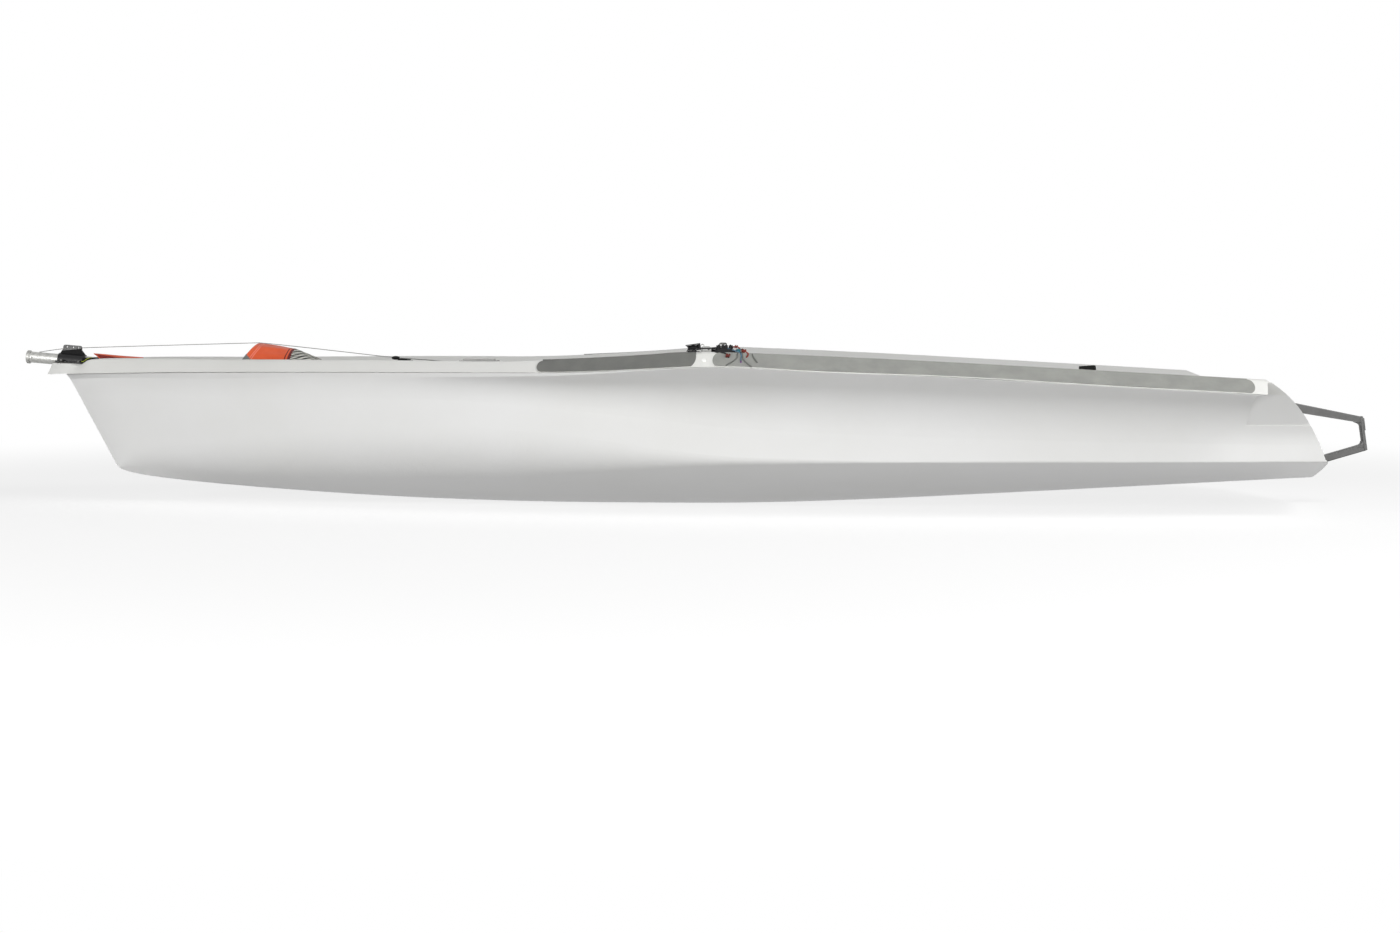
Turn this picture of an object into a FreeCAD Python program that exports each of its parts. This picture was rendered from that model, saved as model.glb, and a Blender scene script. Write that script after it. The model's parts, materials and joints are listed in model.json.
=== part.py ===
"""Two-person skiff dinghy, bare hull with its deck gear, sliding bowsprit and rudder gantry.

Millimetres. +X forward to the bow, +Y to port, +Z up. The origin is under the middle of the
overall box, on the floor that the keel rests on. One STEP file per sub-part goes to parts/.
"""
import FreeCAD
import Part
import math
import os
from FreeCAD import Vector

os.makedirs("parts", exist_ok=True)

# ---- driving dimensions ---------------------------------------------------------------------

# Deck moulding, one row per station from the nose to past the stern. Columns:
# x, half breadth of the lip, height of the lip, ridge in from the lip, ridge above the lip,
# trough in from the ridge, trough below the ridge, crown of the deck, rounding of the ridge
DECK_STATIONS = [
    (2258, 38, 446, 13, 45, 9, 1, 1, 4),
    (2160, 97, 450, 32, 38, 18, 2, 1, 8),
    (2116, 120, 451, 38, 34, 22, 3, 1, 8),
    (2086, 136, 452, 42, 45, 24, 14, 1, 8),
    (2040, 158, 453, 50, 49, 30, 18, 2, 12),
    (1850, 245, 457, 58, 49, 50, 24, 6, 14),
    (1550, 362, 462, 60, 45, 70, 28, 9, 14),
    (1200, 493, 465, 60, 43, 80, 30, 10, 14),
    (850, 607, 467, 60, 40, 85, 30, 12, 14),
    (560, 697, 468, 60, 38, 95, 30, 12, 14),
    (320, 772, 471, 60, 45, 120, 34, 12, 14),
    (120, 832, 480, 60, 47, 160, 37, 12, 14),
    (-20, 868, 488, 60, 49, 200, 41, 12, 14),
    (-140, 883, 490, 60, 47, 230, 42, 12, 14),
    (-320, 882, 482, 60, 49, 240, 41, 12, 14),
    (-700, 872, 466, 60, 48, 240, 34, 12, 14),
    (-1150, 855, 443, 60, 47, 240, 30, 12, 14),
    (-1600, 832, 417, 60, 48, 230, 28, 12, 14),
    (-2000, 808, 394, 60, 48, 210, 26, 12, 14),
]
NOSE_RAKE = -21.0          # degrees, the nose face leans aft going up

# Hull moulding, one row per station from the stem aft. Columns: x at the keel, rake of the
# station's plane in degrees, keel height, keel rounding, bilge half breadth, bilge height,
# bilge rounding, flare half breadth, flare height, flare rounding, lip overhang beyond the hull,
# height of the cove that flares the hull out under the lip
HULL_STATIONS = [
    (2016, 27.8, 110, 1.5, 7, 117, 2, 9, 380, 4, 64, 16),
    (1880, 22.0, 84, 10, 70, 150, 40, 118, 400, 20, 33, 16),
    (1650, 15.0, 60, 30, 152, 138, 75, 240, 410, 30, 22, 16),
    (1300, 7.0, 34, 70, 292, 135, 120, 392, 415, 40, 20, 16),
    (900, 0.0, 13.5, 120, 430, 143, 140, 540, 420, 45, 18, 15),
    (550, 0.0, 3.6, 150, 520, 152, 130, 603, 420, 60, 14, 11),
    (300, 0.0, 0.6, 165, 563, 160, 95, 625, 412, 75, 10, 7),
    (80, 0.0, 0.0, 175, 588, 167, 55, 641, 403, 90, 7, 3),
    (-150, 0.0, 0.9, 175, 600, 172, 25, 649, 392, 105, 5, 1.5),
    (-320, 0.0, 4.1, 171, 602, 173.5, 16, 649.5, 385, 108, 5, 1.5),
    (-500, 0.0, 10, 165, 603, 175, 9, 650, 378, 110, 5, 1.5),
    (-950, 0.0, 31, 135, 601, 177, 6, 647, 362, 110, 7, 2),
    (-1400, 0.0, 55, 112, 596, 178, 5, 643, 348, 107, 8, 2.5),
    (-1800, 0.0, 77, 95, 587, 179, 5, 637, 338, 104, 8, 2.5),
    (-2250, 0.0, 101, 80, 575, 180, 5, 630, 330, 100, 8, 2.5),
]
HULL_UNDER_LIP = 2         # the hull's edge turns in this far below the lip
HULL_INTO_DECK = 7         # height of the turned edge, trimmed to the deck's underside
COVE_FLARE = 0.9           # how far the cove runs out for each unit of its height
FOREFOOT_RADIUS = 60

# Stern face in side view, two arcs through five points (x, z), from the deck to the keel
TRANSOM = [(-1849, 446), (-1990, 328), (-2071, 190), (-2120, 134), (-2142, 101)]
# Aft end of the wings' rolled edge in side view (x, z), the lower corner's rounding, and how
# much further out than up the face is that takes over from it, where it runs up at 45 degrees
WING_END = [(-1850, 600), (-1846, 440), (-1838, 402), (-1808, 396), (-1808, 300)]
WING_END_ROUND = 13
WING_END_FACE = 330

# Cockpit, one row per station. Columns: x, sole half breadth, sole height, rim half breadth
COCKPIT_STATIONS = [
    (620, 330, 262, 430),
    (-100, 430, 254, 590),
    (-1000, 410, 242, 560),
    (-1700, 310, 233, 430),
    (-2300, 280, 226, 380),
]
COCKPIT_RIM_Z = 480        # height at which the rim half breadth is measured
COCKPIT_CORNER = 45        # setback of the rounded corner between sole and tank
LINER = 6                  # thickness of the cockpit liner

# Centreboard trunk
TRUNK_FRONT = 330
TRUNK_LENGTH = 460
TRUNK_TOP = 400
TRUNK_CLEAR_OF_FLOOR = 1.5 # the trunk stops just above the keel's underside
TRUNK_WALL = 12
SLOT_WIDTH = 26
SLOT_END = 24              # solid end post of the trunk, fore and aft
CAP_OVERHANG = 30
CAP_THICK = 14

# Bowsprit
POLE_RADIUS = 19.5
POLE_WALL = 2.0
POLE_TIP_X = 2340
POLE_TIP_Z = 508           # height of the pole's axis at its tip
POLE_RISE = 4.8            # degrees, nose up
POLE_STROKE = 1050         # how far the pole slides out
POLE_BURY = 590            # length still behind the tip's parked place when fully out
POLE_LENGTH = POLE_STROKE + POLE_BURY
POLE_CLEARANCE = 3.0       # radial clearance in the deck tube
COLLAR_LENGTH = 12
COLLAR_RADIUS = 23.5
POLE_EYE_BACK = 22         # of the tack line's hole, from the pole's tip

# Bow fitting
FITTING_FRONT = 2227
FITTING_LENGTH = 95
FITTING_HALF = 44          # half width over the bolt flanges
FITTING_FLANGE = 5
FLANGE_DROP = 8            # from the pole's axis down to the deck under the bow fitting
SADDLE_WALL = 3.0
SADDLE_CLEARANCE = 0.8
FIN_THICK = 8
FIN_TOP = 54               # above the pole's axis
FIN_FOOT_ENDS = (1, 97)    # along the pole from the fitting's front
FIN_TOP_ENDS = (13, 79)
FIN_BAND = 15              # height of the bare rounded band along the fin's top
TACK_HOLE_RADIUS = 3.2
TACK_HOLES = (26, 48, 67)  # along the pole from the fitting's front

# Rudder gantry
POST_TOP = (-2320, 294)
POST_FOOT = (-2334, 200)
POST_DEPTH = 13            # fore and aft
POST_WIDTH = 34
POST_END = 11              # the post runs past the legs' centrelines by this much
POST_ROUND = 5
PINTLE_RADIUS = 4.0        # bore for the rudder's pin, right through the post
LEG_SIZE = 20
LEG_ROOT = 30              # depth of the upper legs where they leave the hull
LEG_WIDTH = 18
LEG_ROUND = 4
UPPER_FOOT_Y = 395
UPPER_FOOT_Z = 347
LOWER_FOOT_Z = 134
FOOT_SIZE = 62
FOOT_THICK = 6

# Non-slip pads on the rolled gunwale
PAD_THICK = 2.5
PAD_LOW_EDGE = 3           # bare edge of the gunwale below the pad
PAD_HIGH_EDGE = 6          # and above it
# Rounded ends of the pads. Columns: x, direction of the pad from there, radius, and height of
# the rounding's centre above the lip
PAD_ENDS = {"forward": [(450, -1, 17, 19), (-65, 1, 36, 32)],
            "aft": [(-117, -1, 22, 22), (-1803, 1, 21, 24)]}

# Shoulder gear, one set a side
# Blocks and cleats: on the ridge to port, on the deck inboard of it to starboard. Columns: side,
# distance in from the ridge
SHOULDER_SETS = {"port": (1, 6), "starboard": (-1, 172)}
CLEAT_PLATE_X = (-187, -123)
CLEAT_PLATE_THICK = 7
CLEAT_X = (-141.5, -164.5)
BLOCK_X = -56
BLOCK_RADIUS = 23
BLOCK_HEIGHT = 21
BLOCK_TILT = 8             # degrees, nose down
CHAINPLATE_X = -93
CHAINPLATE_IN = 60         # in from the ridge, at the holes
CHAINPLATE_LEAN = 9        # degrees, its top leans inboard towards the mast
CHAINPLATE_THICK = 4
CHAINPLATE_TOP = 16        # above the ridge
SHROUD_HOLE_RADIUS = 3.2
SHROUD_HOLES = (-8, 8)     # fore and aft from the chainplate's middle
FOOT_CHOCK_X = -1290

# Foredeck gear
MAST_STEP_X = 735
STEP_PLATE = 4             # the step's plate stands this far above the deck
STEP_WALL = 9              # and its side walls above the plate
JIB_TRACK_X = 1000
JIB_TRACK_RADIUS = 1400
JIB_TRACK_HALF = 330
# Arches of the chute. Columns: x at the deck, lean aft in degrees, half width, height
CHUTE_ARCHES = [(1560, 32, 112, 62), (1400, 20, 96, 34), (1399.7, 20, 96, 34), (1306, 5, 74, 11)]
SOCK_WALL = 3
HOOP_SIZE = 8
BOW_FLAP_X = (2093, 1925)
BOW_FLAP_TIP_Z = 520
BOW_FLAP_HALF = 36

# Cockpit gear
TOE_STRAP_X = (150, -1450)
TOE_STRAP_Y = 150
TOE_STRAP_WIDTH = 50
TOE_STRAP_THICK = 3
TOE_STRAP_LIFT = 70
MAINSHEET_X = -420
HATCH_Y = 200
HATCH_Z = 365
HATCH_RADIUS = 68

SEAT = 0.3                 # gap between curved faces that rest on each other
LOFT_DEGREE = 2            # a higher degree swings between stations


# ---- sections -------------------------------------------------------------------------------

def lerp_table(table, column, x):
    """Value of a column at x, by straight interpolation between stations."""
    rows = sorted(table, key=lambda row: row[0])
    if x <= rows[0][0]:
        return rows[0][column]
    for low, high in zip(rows, rows[1:]):
        if x <= high[0]:
            share = (x - low[0]) / (high[0] - low[0])
            return low[column] + share * (high[column] - low[column])
    return rows[-1][column]


def lip(x):
    """Half breadth and height of the lip at x."""
    return lerp_table(DECK_STATIONS, 1, x), lerp_table(DECK_STATIONS, 2, x)


def ridge(x):
    """Half breadth and height of the rolled gunwale's ridge at x."""
    half, height = lip(x)
    return (half - lerp_table(DECK_STATIONS, 3, x), height + lerp_table(DECK_STATIONS, 4, x))


def deck_height(x):
    """Height of the deck on the centreline at x."""
    drop = lerp_table(DECK_STATIONS, 6, x)
    return ridge(x)[1] - drop + lerp_table(DECK_STATIONS, 7, x)


def rounded_wire(corners, place):
    """Closed wire of lines and tangent arcs. A corner is (y, z, setback)."""
    count = len(corners)
    points = [Vector(y, z, 0) for y, z, setback in corners]
    starts = []
    ends = []
    mids = []
    for i, (y, z, setback) in enumerate(corners):
        here = points[i]
        back = points[i - 1] - here
        ahead = points[(i + 1) % count] - here
        back.normalize()
        ahead.normalize()
        starts.append(here + back * setback)
        ends.append(here + ahead * setback)
        if setback > 0:
            half_angle = back.getAngle(ahead) / 2
            inward = back + ahead
            inward.normalize()
            radius = setback * math.tan(half_angle)
            mids.append(here + inward * (setback / math.cos(half_angle) - radius))
        else:
            mids.append(None)
    edges = []
    for i in range(count):
        if mids[i] is not None:
            arc = Part.Arc(place(starts[i]), place(mids[i]), place(ends[i]))
            edges.append(arc.toShape())
        edges.append(Part.makeLine(place(ends[i]), place(starts[(i + 1) % count])))
    return Part.Wire(edges)


def raked_plane(x, z, rake):
    """Function that puts a section's (y, z) point on a plane leaning forward by rake degrees."""
    lean = math.tan(math.radians(rake))
    return lambda p: Vector(x + (p.y - z) * lean, p.x, p.y)


def mirrored(half_corners):
    """Corners of a whole section from those of its port half, from keel or middle to top."""
    other = [(-y, z, s) for y, z, s in reversed(half_corners) if y != 0]
    return half_corners + other


def prism_y(points, y_low, y_high):
    """Straight prism along Y from a closed outline of (x, z) points."""
    wire = Part.makePolygon([Vector(x, y_low, z) for x, z in points + points[:1]])
    return Part.Face(wire).extrude(Vector(0, y_high - y_low, 0))


def box(x_low, x_high, y_low, y_high, z_low, z_high):
    """Box between two corners."""
    size = (x_high - x_low, y_high - y_low, z_high - z_low)
    return Part.makeBox(*size, Vector(x_low, y_low, z_low))


def beam(start, end, width, depth, side):
    """Rectangular bar from start to end. Side is the direction of its width."""
    along = end - start
    length = along.Length
    along.normalize()
    across = side - along * side.dot(along)
    across.normalize()
    up = along.cross(across)
    corner = start - across * (width / 2) - up * (depth / 2)
    outline = [corner, corner + across * width, corner + across * width + up * depth,
               corner + up * depth, corner]
    return Part.Face(Part.makePolygon(outline)).extrude(along * length)


def largest(shape):
    """The biggest solid of a shape, without the chips that a cut left."""
    return max(shape.Solids, key=lambda solid: solid.Volume)


def mirror_y(shape):
    """The same piece on the other side of the boat."""
    return shape.mirror(Vector(0, 0, 0), Vector(0, 1, 0))


# ---- hull and deck --------------------------------------------------------------------------

def deck_loft():
    """Solid between the flat underside at the lip and the top of the deck."""
    wires = []
    for i, (x, half, low, a, h, w, drop, crown, rounding) in enumerate(DECK_STATIONS):
        top = low + h
        corners = [(0, top - drop + crown, min(0.3 * (half - a - w), 90)),
                   (half - a - w, top - drop, min(w, 30) / 3),
                   (half - a, top, rounding),
                   (half, low, 0)]
        rake = NOSE_RAKE if i == 0 else 0.0
        wires.append(rounded_wire(mirrored(corners), raked_plane(x, low, rake)))
    return Part.makeLoft(wires, True, False, False, LOFT_DEGREE)


def keel_drop(keel, rounding, bilge_y, bilge_z):
    """How far the sharp apex lies below the rounded keel's lowest point."""
    drop = 0.0
    for _ in range(8):
        deadrise = math.atan2(bilge_z - keel + drop, bilge_y)
        drop = rounding * math.tan(deadrise / 2)
    return drop


def hull_loft():
    """Solid of the lower moulding, reaching up inside the deck moulding."""
    wires = []
    for x, rake, keel, t0, by, bz, t1, fy, fz, t2, overhang, cove in HULL_STATIONS:
        lean = math.tan(math.radians(rake))
        half, height = lip(x + (450 - keel) * lean)
        edge = height - HULL_UNDER_LIP
        corners = [(0, keel - keel_drop(keel, t0, by, bz), t0),
                   (by, bz, t1),
                   (fy, fz, t2),
                   (half - overhang, edge - cove, 0),
                   (half - overhang + cove * COVE_FLARE, edge, 0),
                   (max(half - overhang - 16, 3), edge + HULL_INTO_DECK, 0)]
        wires.append(rounded_wire(mirrored(corners), raked_plane(x, keel, rake)))
    return Part.makeLoft(wires, True, False, False, LOFT_DEGREE)


def stern_cutter():
    """Everything aft of the curved stern face."""
    points = [Vector(x, 0, z) for x, z in TRANSOM]
    top = points[0]
    foot = points[-1]
    above = Vector(top.x + 160, 0, top.z + 120)
    below = Vector(foot.x - 80, 0, foot.z - 140)
    behind = foot.x - 600
    edges = [Part.makeLine(above, top),
             Part.Arc(*points[:3]).toShape(),
             Part.Arc(*points[2:]).toShape(),
             Part.makeLine(foot, below),
             Part.makeLine(below, Vector(behind, 0, below.z)),
             Part.makeLine(Vector(behind, 0, below.z), Vector(behind, 0, above.z)),
             Part.makeLine(Vector(behind, 0, above.z), above)]
    face = Part.Face(Part.Wire(edges))
    face.translate(Vector(0, -1200, 0))
    return face.extrude(Vector(0, 2400, 0))


def wing_end_cutter():
    """What lies aft of the port wing's rolled edge and outside the face that follows it."""
    points = WING_END + [(-2600, WING_END[-1][1]), (-2600, WING_END[0][1])]
    side = prism_y(points, 0, 1200)
    x, z = WING_END[2]
    side = side.makeFillet(WING_END_ROUND, [e for e in side.Edges if at_place(e, x, z)])
    low, high = WING_END[-1][1], WING_END[0][1]
    outline = [Vector(-2600, WING_END_FACE + low, low), Vector(-2600, WING_END_FACE + high, high),
               Vector(-2600, 1300, high), Vector(-2600, 1300, low)]
    outside = Part.Face(Part.makePolygon(outline + outline[:1])).extrude(Vector(2600, 0, 0))
    return side.common(outside)


def at_place(edge, x, z):
    """Whether an edge runs across the boat at a place in side view."""
    middle = edge.CenterOfMass
    return abs(middle.x - x) < 0.01 and abs(middle.z - z) < 0.01


def forefoot_cutter():
    """Corner between stem and keel, less a quarter round, to be cut away."""
    x, rake, keel = HULL_STATIONS[0][:3]
    corner = Vector(x, 0, keel)
    stem = Vector(math.sin(math.radians(rake)), 0, math.cos(math.radians(rake)))
    after = HULL_STATIONS[1]
    aft = Vector(after[0] - x, 0, after[2] - keel)
    aft.normalize()
    half_angle = stem.getAngle(aft) / 2
    setback = FOREFOOT_RADIUS / math.tan(half_angle)
    inward = stem + aft
    inward.normalize()
    centre = corner + inward * (FOREFOOT_RADIUS / math.sin(half_angle))
    middle = centre - inward * FOREFOOT_RADIUS
    start = corner + stem * setback
    end = corner + aft * setback
    outside = corner - inward * FOREFOOT_RADIUS
    edges = [Part.Arc(start, middle, end).toShape(),
             Part.makeLine(end, end - inward * FOREFOOT_RADIUS),
             Part.makeLine(end - inward * FOREFOOT_RADIUS, outside),
             Part.makeLine(outside, start - inward * FOREFOOT_RADIUS),
             Part.makeLine(start - inward * FOREFOOT_RADIUS, start)]
    face = Part.Face(Part.Wire(edges))
    face.translate(Vector(0, -100, 0))
    return face.extrude(Vector(0, 200, 0))


def cockpit_space(grow):
    """Hollow of the cockpit, grown outwards by the liner's thickness or by nothing."""
    wires = []
    high = COCKPIT_RIM_Z + 120
    for x, sole_half, sole_z, rim_half in COCKPIT_STATIONS:
        slope = (rim_half - sole_half) / (COCKPIT_RIM_Z - sole_z)
        low = sole_z - grow
        corners = [(sole_half + grow - slope * grow, low, COCKPIT_CORNER),
                   (sole_half + grow + slope * (high - sole_z), high, 0)]
        place = raked_plane(x + (grow if x == COCKPIT_STATIONS[0][0] else 0), low, 0)
        wires.append(rounded_wire(mirrored(corners), place))
    return Part.makeLoft(wires, True, True)


def pole_point(distance_from_tip):
    """Point on the bowsprit's axis, measured back from its tip."""
    rise = math.radians(POLE_RISE)
    return Vector(POLE_TIP_X - distance_from_tip * math.cos(rise), 0,
                  POLE_TIP_Z - distance_from_tip * math.sin(rise))


def pole_axis():
    """Unit vector along the bowsprit, towards its tip."""
    rise = math.radians(POLE_RISE)
    return Vector(math.cos(rise), 0, math.sin(rise))


def build_mouldings():
    """Hull, deck and cockpit liner."""
    stern = stern_cutter()
    deck_solid = deck_loft()
    pole_space = Part.makeCylinder(POLE_RADIUS + POLE_CLEARANCE, POLE_LENGTH + 120,
                                   pole_point(POLE_LENGTH + 20), pole_axis())
    outer = cockpit_space(LINER)
    trunk_hole = box(TRUNK_FRONT - TRUNK_LENGTH, TRUNK_FRONT,
                     -SLOT_WIDTH / 2 - TRUNK_WALL, SLOT_WIDTH / 2 + TRUNK_WALL, -50, 600)
    wing_end = wing_end_cutter()
    stern = stern.fuse(wing_end).fuse(mirror_y(wing_end))
    hull = hull_loft().cut(deck_solid).cut(forefoot_cutter()).cut(stern)
    hull = hull.cut(outer).cut(trunk_hole).cut(pole_space)
    deck = deck_solid.cut(stern).cut(outer).cut(pole_space)
    liner = outer.cut(cockpit_space(0)).cut(stern).cut(trunk_hole)
    above = box(-3000, 3000, -1200, 1200, 0, 2000)
    tank = deck_solid.fuse(hull_loft())
    liner = liner.common(tank).common(above)
    return deck_solid, {"hull": hull, "deck": deck, "cockpit_liner": liner}


# ---- gunwale pads ---------------------------------------------------------------------------

def gunwale_pad(deck_solid, ends):
    """Non-slip pad on the port gunwale, seated on the sloping outer face."""
    front, back = ends[0][0], ends[1][0]
    stations = [front]
    stations += [row[0] for row in DECK_STATIONS if back < row[0] < front]
    stations.append(back)
    wires = []
    for x in stations:
        low = Vector(0, *lip(x))
        high = Vector(0, *ridge(x))
        up = high - low
        up.normalize()
        out = Vector(0, up.z, -up.y)
        low = low + up * PAD_LOW_EDGE
        high = high - up * PAD_HIGH_EDGE
        ring = [low + out * PAD_THICK, high + out * PAD_THICK, high - out * 6, low - out * 2]
        ring = [Vector(x, p.y, p.z) for p in ring]
        wires.append(Part.makePolygon(ring + ring[:1]))
    pad = Part.makeLoft(wires, True, False, False, LOFT_DEGREE).cut(deck_solid)
    for x, inward, radius, height in ends:
        centre = Vector(x + inward * radius, 0, lip(x)[1] + height)
        x_low, x_high = sorted((x - inward * 2, centre.x))
        corner = box(x_low, x_high, 0, 1200, centre.z - 60, centre.z + 60)
        if radius > height:
            corner = box(x_low, x_high, 0, 1200, centre.z - 60, centre.z)
        pad = pad.cut(corner.cut(Part.makeCylinder(radius, 1200, centre, Vector(0, 1, 0))))
    return largest(pad)


def build_pads(deck_solid):
    """Four pads, two a side."""
    shapes = {}
    for name, ends in PAD_ENDS.items():
        pad = gunwale_pad(deck_solid, ends)
        shapes["grip_pad_" + name + "_port"] = pad
        shapes["grip_pad_" + name + "_starboard"] = mirror_y(pad)
    return shapes


# ---- centreboard trunk ----------------------------------------------------------------------

def build_trunk():
    """Two side walls, two end posts and the cap of the centreboard trunk."""
    back = TRUNK_FRONT - TRUNK_LENGTH
    inner = SLOT_WIDTH / 2
    outer = inner + TRUNK_WALL
    low = TRUNK_CLEAR_OF_FLOOR
    side = box(back, TRUNK_FRONT, inner, outer, low, TRUNK_TOP)
    front_post = box(TRUNK_FRONT - SLOT_END, TRUNK_FRONT, -inner, inner, low, TRUNK_TOP)
    back_post = box(back, back + SLOT_END, -inner, inner, low, TRUNK_TOP)
    half = outer + CAP_OVERHANG
    cap = box(back - CAP_OVERHANG, TRUNK_FRONT + CAP_OVERHANG, -half, half,
              TRUNK_TOP, TRUNK_TOP + CAP_THICK)
    cap = cap.makeFillet(24, [e for e in cap.Edges if is_vertical(e)])
    cap = cap.makeFillet(5, [e for e in cap.Edges if e.BoundBox.ZMin > TRUNK_TOP + CAP_THICK - 1])
    slot = box(back + SLOT_END, TRUNK_FRONT - SLOT_END, -inner, inner, 0, 600)
    return {
        "trunk_side_port": side,
        "trunk_side_starboard": mirror_y(side),
        "trunk_post_front": front_post,
        "trunk_post_back": back_post,
        "trunk_cap": cap.cut(slot),
    }


def lies_along(edge, direction):
    """Whether a straight edge runs along a direction."""
    start, end = [vertex.Point for vertex in edge.Vertexes]
    return (end - start).cross(direction).Length < 0.001 * (end - start).Length * direction.Length


def is_vertical(edge):
    """Whether a straight edge runs along Z."""
    bounds = edge.BoundBox
    return bounds.XLength < 0.01 and bounds.YLength < 0.01


# ---- bowsprit and bow fitting ---------------------------------------------------------------

def tube(outer, inner, length, start, axis):
    """Round tube."""
    solid = Part.makeCylinder(outer, length, start, axis)
    return solid.cut(Part.makeCylinder(inner, length + 2, start - axis, axis))


def build_bowsprit():
    """Pole with its flared end collar and the block that closes its heel."""
    axis = pole_axis()
    inner = POLE_RADIUS - POLE_WALL
    pole = tube(POLE_RADIUS, inner, POLE_LENGTH - COLLAR_LENGTH, pole_point(POLE_LENGTH), axis)
    eye = Part.makeCylinder(TACK_HOLE_RADIUS, 100, pole_point(POLE_EYE_BACK) - Vector(0, 50, 0),
                            Vector(0, 1, 0))
    pole = pole.cut(eye)
    collar = tube(COLLAR_RADIUS, inner, COLLAR_LENGTH, pole_point(COLLAR_LENGTH), axis)
    collar = collar.makeChamfer(2, [e for e in collar.Edges if on_radius(e, COLLAR_RADIUS)])
    heel = Part.makeCylinder(inner, 30, pole_point(POLE_LENGTH - 4), axis)
    return {"pole": pole, "pole_collar": collar, "pole_heel": heel}


def on_radius(edge, radius):
    """Whether an edge is a circle of this radius."""
    return hasattr(edge.Curve, "Radius") and abs(edge.Curve.Radius - radius) < 0.01


def fitting_frame(along, across, up):
    """Point in the bow fitting's own frame, which lies along the pole, on its axis."""
    axis = pole_axis()
    normal = Vector(-axis.z, 0, axis.x)
    front = pole_point(POLE_TIP_X - FITTING_FRONT)
    return front - axis * along + Vector(0, across, 0) + normal * up


def fitting_prism(outline, length, start=0.0):
    """Prism along the pole from a closed (y, up) outline."""
    points = [fitting_frame(start, y, up) for y, up in outline]
    face = Part.Face(Part.makePolygon(points + points[:1]))
    return face.extrude(pole_axis() * -length)


def build_bow_fitting(deck_solid):
    """Saddle over the pole with bolt flanges, and the fin that takes stay and tack."""
    axis = pole_axis()
    bore = POLE_RADIUS + SADDLE_CLEARANCE
    outer = bore + SADDLE_WALL
    half = FITTING_HALF
    base = -FLANGE_DROP
    ends = (FITTING_LENGTH + 20, -10)
    outline = [(-half, base - 2), (half, base - 2), (half, base + FITTING_FLANGE),
               (outer, base + FITTING_FLANGE), (outer, 0), (-outer, 0),
               (-outer, base + FITTING_FLANGE), (-half, base + FITTING_FLANGE)]
    saddle = fitting_prism(outline, FITTING_LENGTH)
    dome = Part.makeCylinder(outer, FITTING_LENGTH, fitting_frame(FITTING_LENGTH, 0, 0), axis)
    saddle = saddle.fuse(dome)
    tunnel = Part.makeCylinder(bore, ends[0], fitting_frame(FITTING_LENGTH + 10, 0, 0), axis)
    under = fitting_prism([(-bore, -60), (bore, -60), (bore, 0), (-bore, 0)], *ends)
    floor = fitting_prism([(-200, -200), (200, -200), (200, base - 2), (-200, base - 2)], *ends)
    saddle = saddle.cut(tunnel).cut(under).cut(floor).cut(deck_solid)
    band = FIN_TOP - FIN_BAND
    low = outer - 4
    points = [(FIN_FOOT_ENDS[0], low), (FIN_TOP_ENDS[0], band), (FIN_TOP_ENDS[0], FIN_TOP),
              (FIN_TOP_ENDS[1], FIN_TOP), (FIN_TOP_ENDS[1], band), (FIN_FOOT_ENDS[1], low)]
    corners = [fitting_frame(a, -FIN_THICK / 2, up) for a, up in points]
    fin = Part.Face(Part.makePolygon(corners + corners[:1])).extrude(Vector(0, FIN_THICK, 0))
    tips = [fitting_frame(a, 0, FIN_TOP) for a in FIN_TOP_ENDS]
    tip_edges = [e for e in fin.Edges
                 if min(Vector(e.CenterOfMass - tip).Length for tip in tips) < 1]
    fin = fin.makeFillet(8, tip_edges)
    for along in TACK_HOLES:
        centre = fitting_frame(along, -50, FIN_TOP - FIN_BAND / 2)
        fin = fin.cut(Part.makeCylinder(TACK_HOLE_RADIUS, 100, centre, Vector(0, 1, 0)))
    fin = fin.cut(Part.makeCylinder(outer, ends[0], fitting_frame(FITTING_LENGTH + 10, 0, 0), axis))
    return {"bow_saddle": saddle, "bow_fin": fin}


# ---- rudder gantry --------------------------------------------------------------------------

def transom_x(z):
    """Where the stern face lies at a height, from the circle through the arc's three points."""
    places = TRANSOM[:3] if z >= TRANSOM[2][1] else TRANSOM[2:]
    circle = Part.Arc(*[Vector(px, 0, pz) for px, pz in places]).toShape().Curve
    aside = math.sqrt(circle.Radius ** 2 - (z - circle.Center.z) ** 2)
    return circle.Center.x + math.copysign(aside, places[1][0] - circle.Center.x)


def transom_normal(z):
    """Outward unit normal of the stern face at a height."""
    step = 5.0
    along = Vector(transom_x(z + step) - transom_x(z - step), 0, 2 * step)
    along.normalize()
    return Vector(-along.z, 0, along.x)


def tapered_leg(root, end):
    """Upper leg, deeper at its root, with its upper edges rounded."""
    along = end - root
    along.normalize()
    across = along.cross(Vector(0, 0, 1))
    across.normalize()
    up = across.cross(along)
    sections = []
    for place, depth in ((root - along * 40, LEG_ROOT), (end + along * 20, LEG_SIZE)):
        half = LEG_WIDTH / 2
        low = -LEG_SIZE / 2
        corners = [(-half, low), (half, low), (half, low + depth - LEG_ROUND),
                   (half - LEG_ROUND, low + depth), (LEG_ROUND - half, low + depth),
                   (-half, low + depth - LEG_ROUND)]
        points = [place + across * a + up * b for a, b in corners]
        sections.append(Part.makePolygon(points + points[:1]))
    return Part.makeLoft(sections, True, True)


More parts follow.
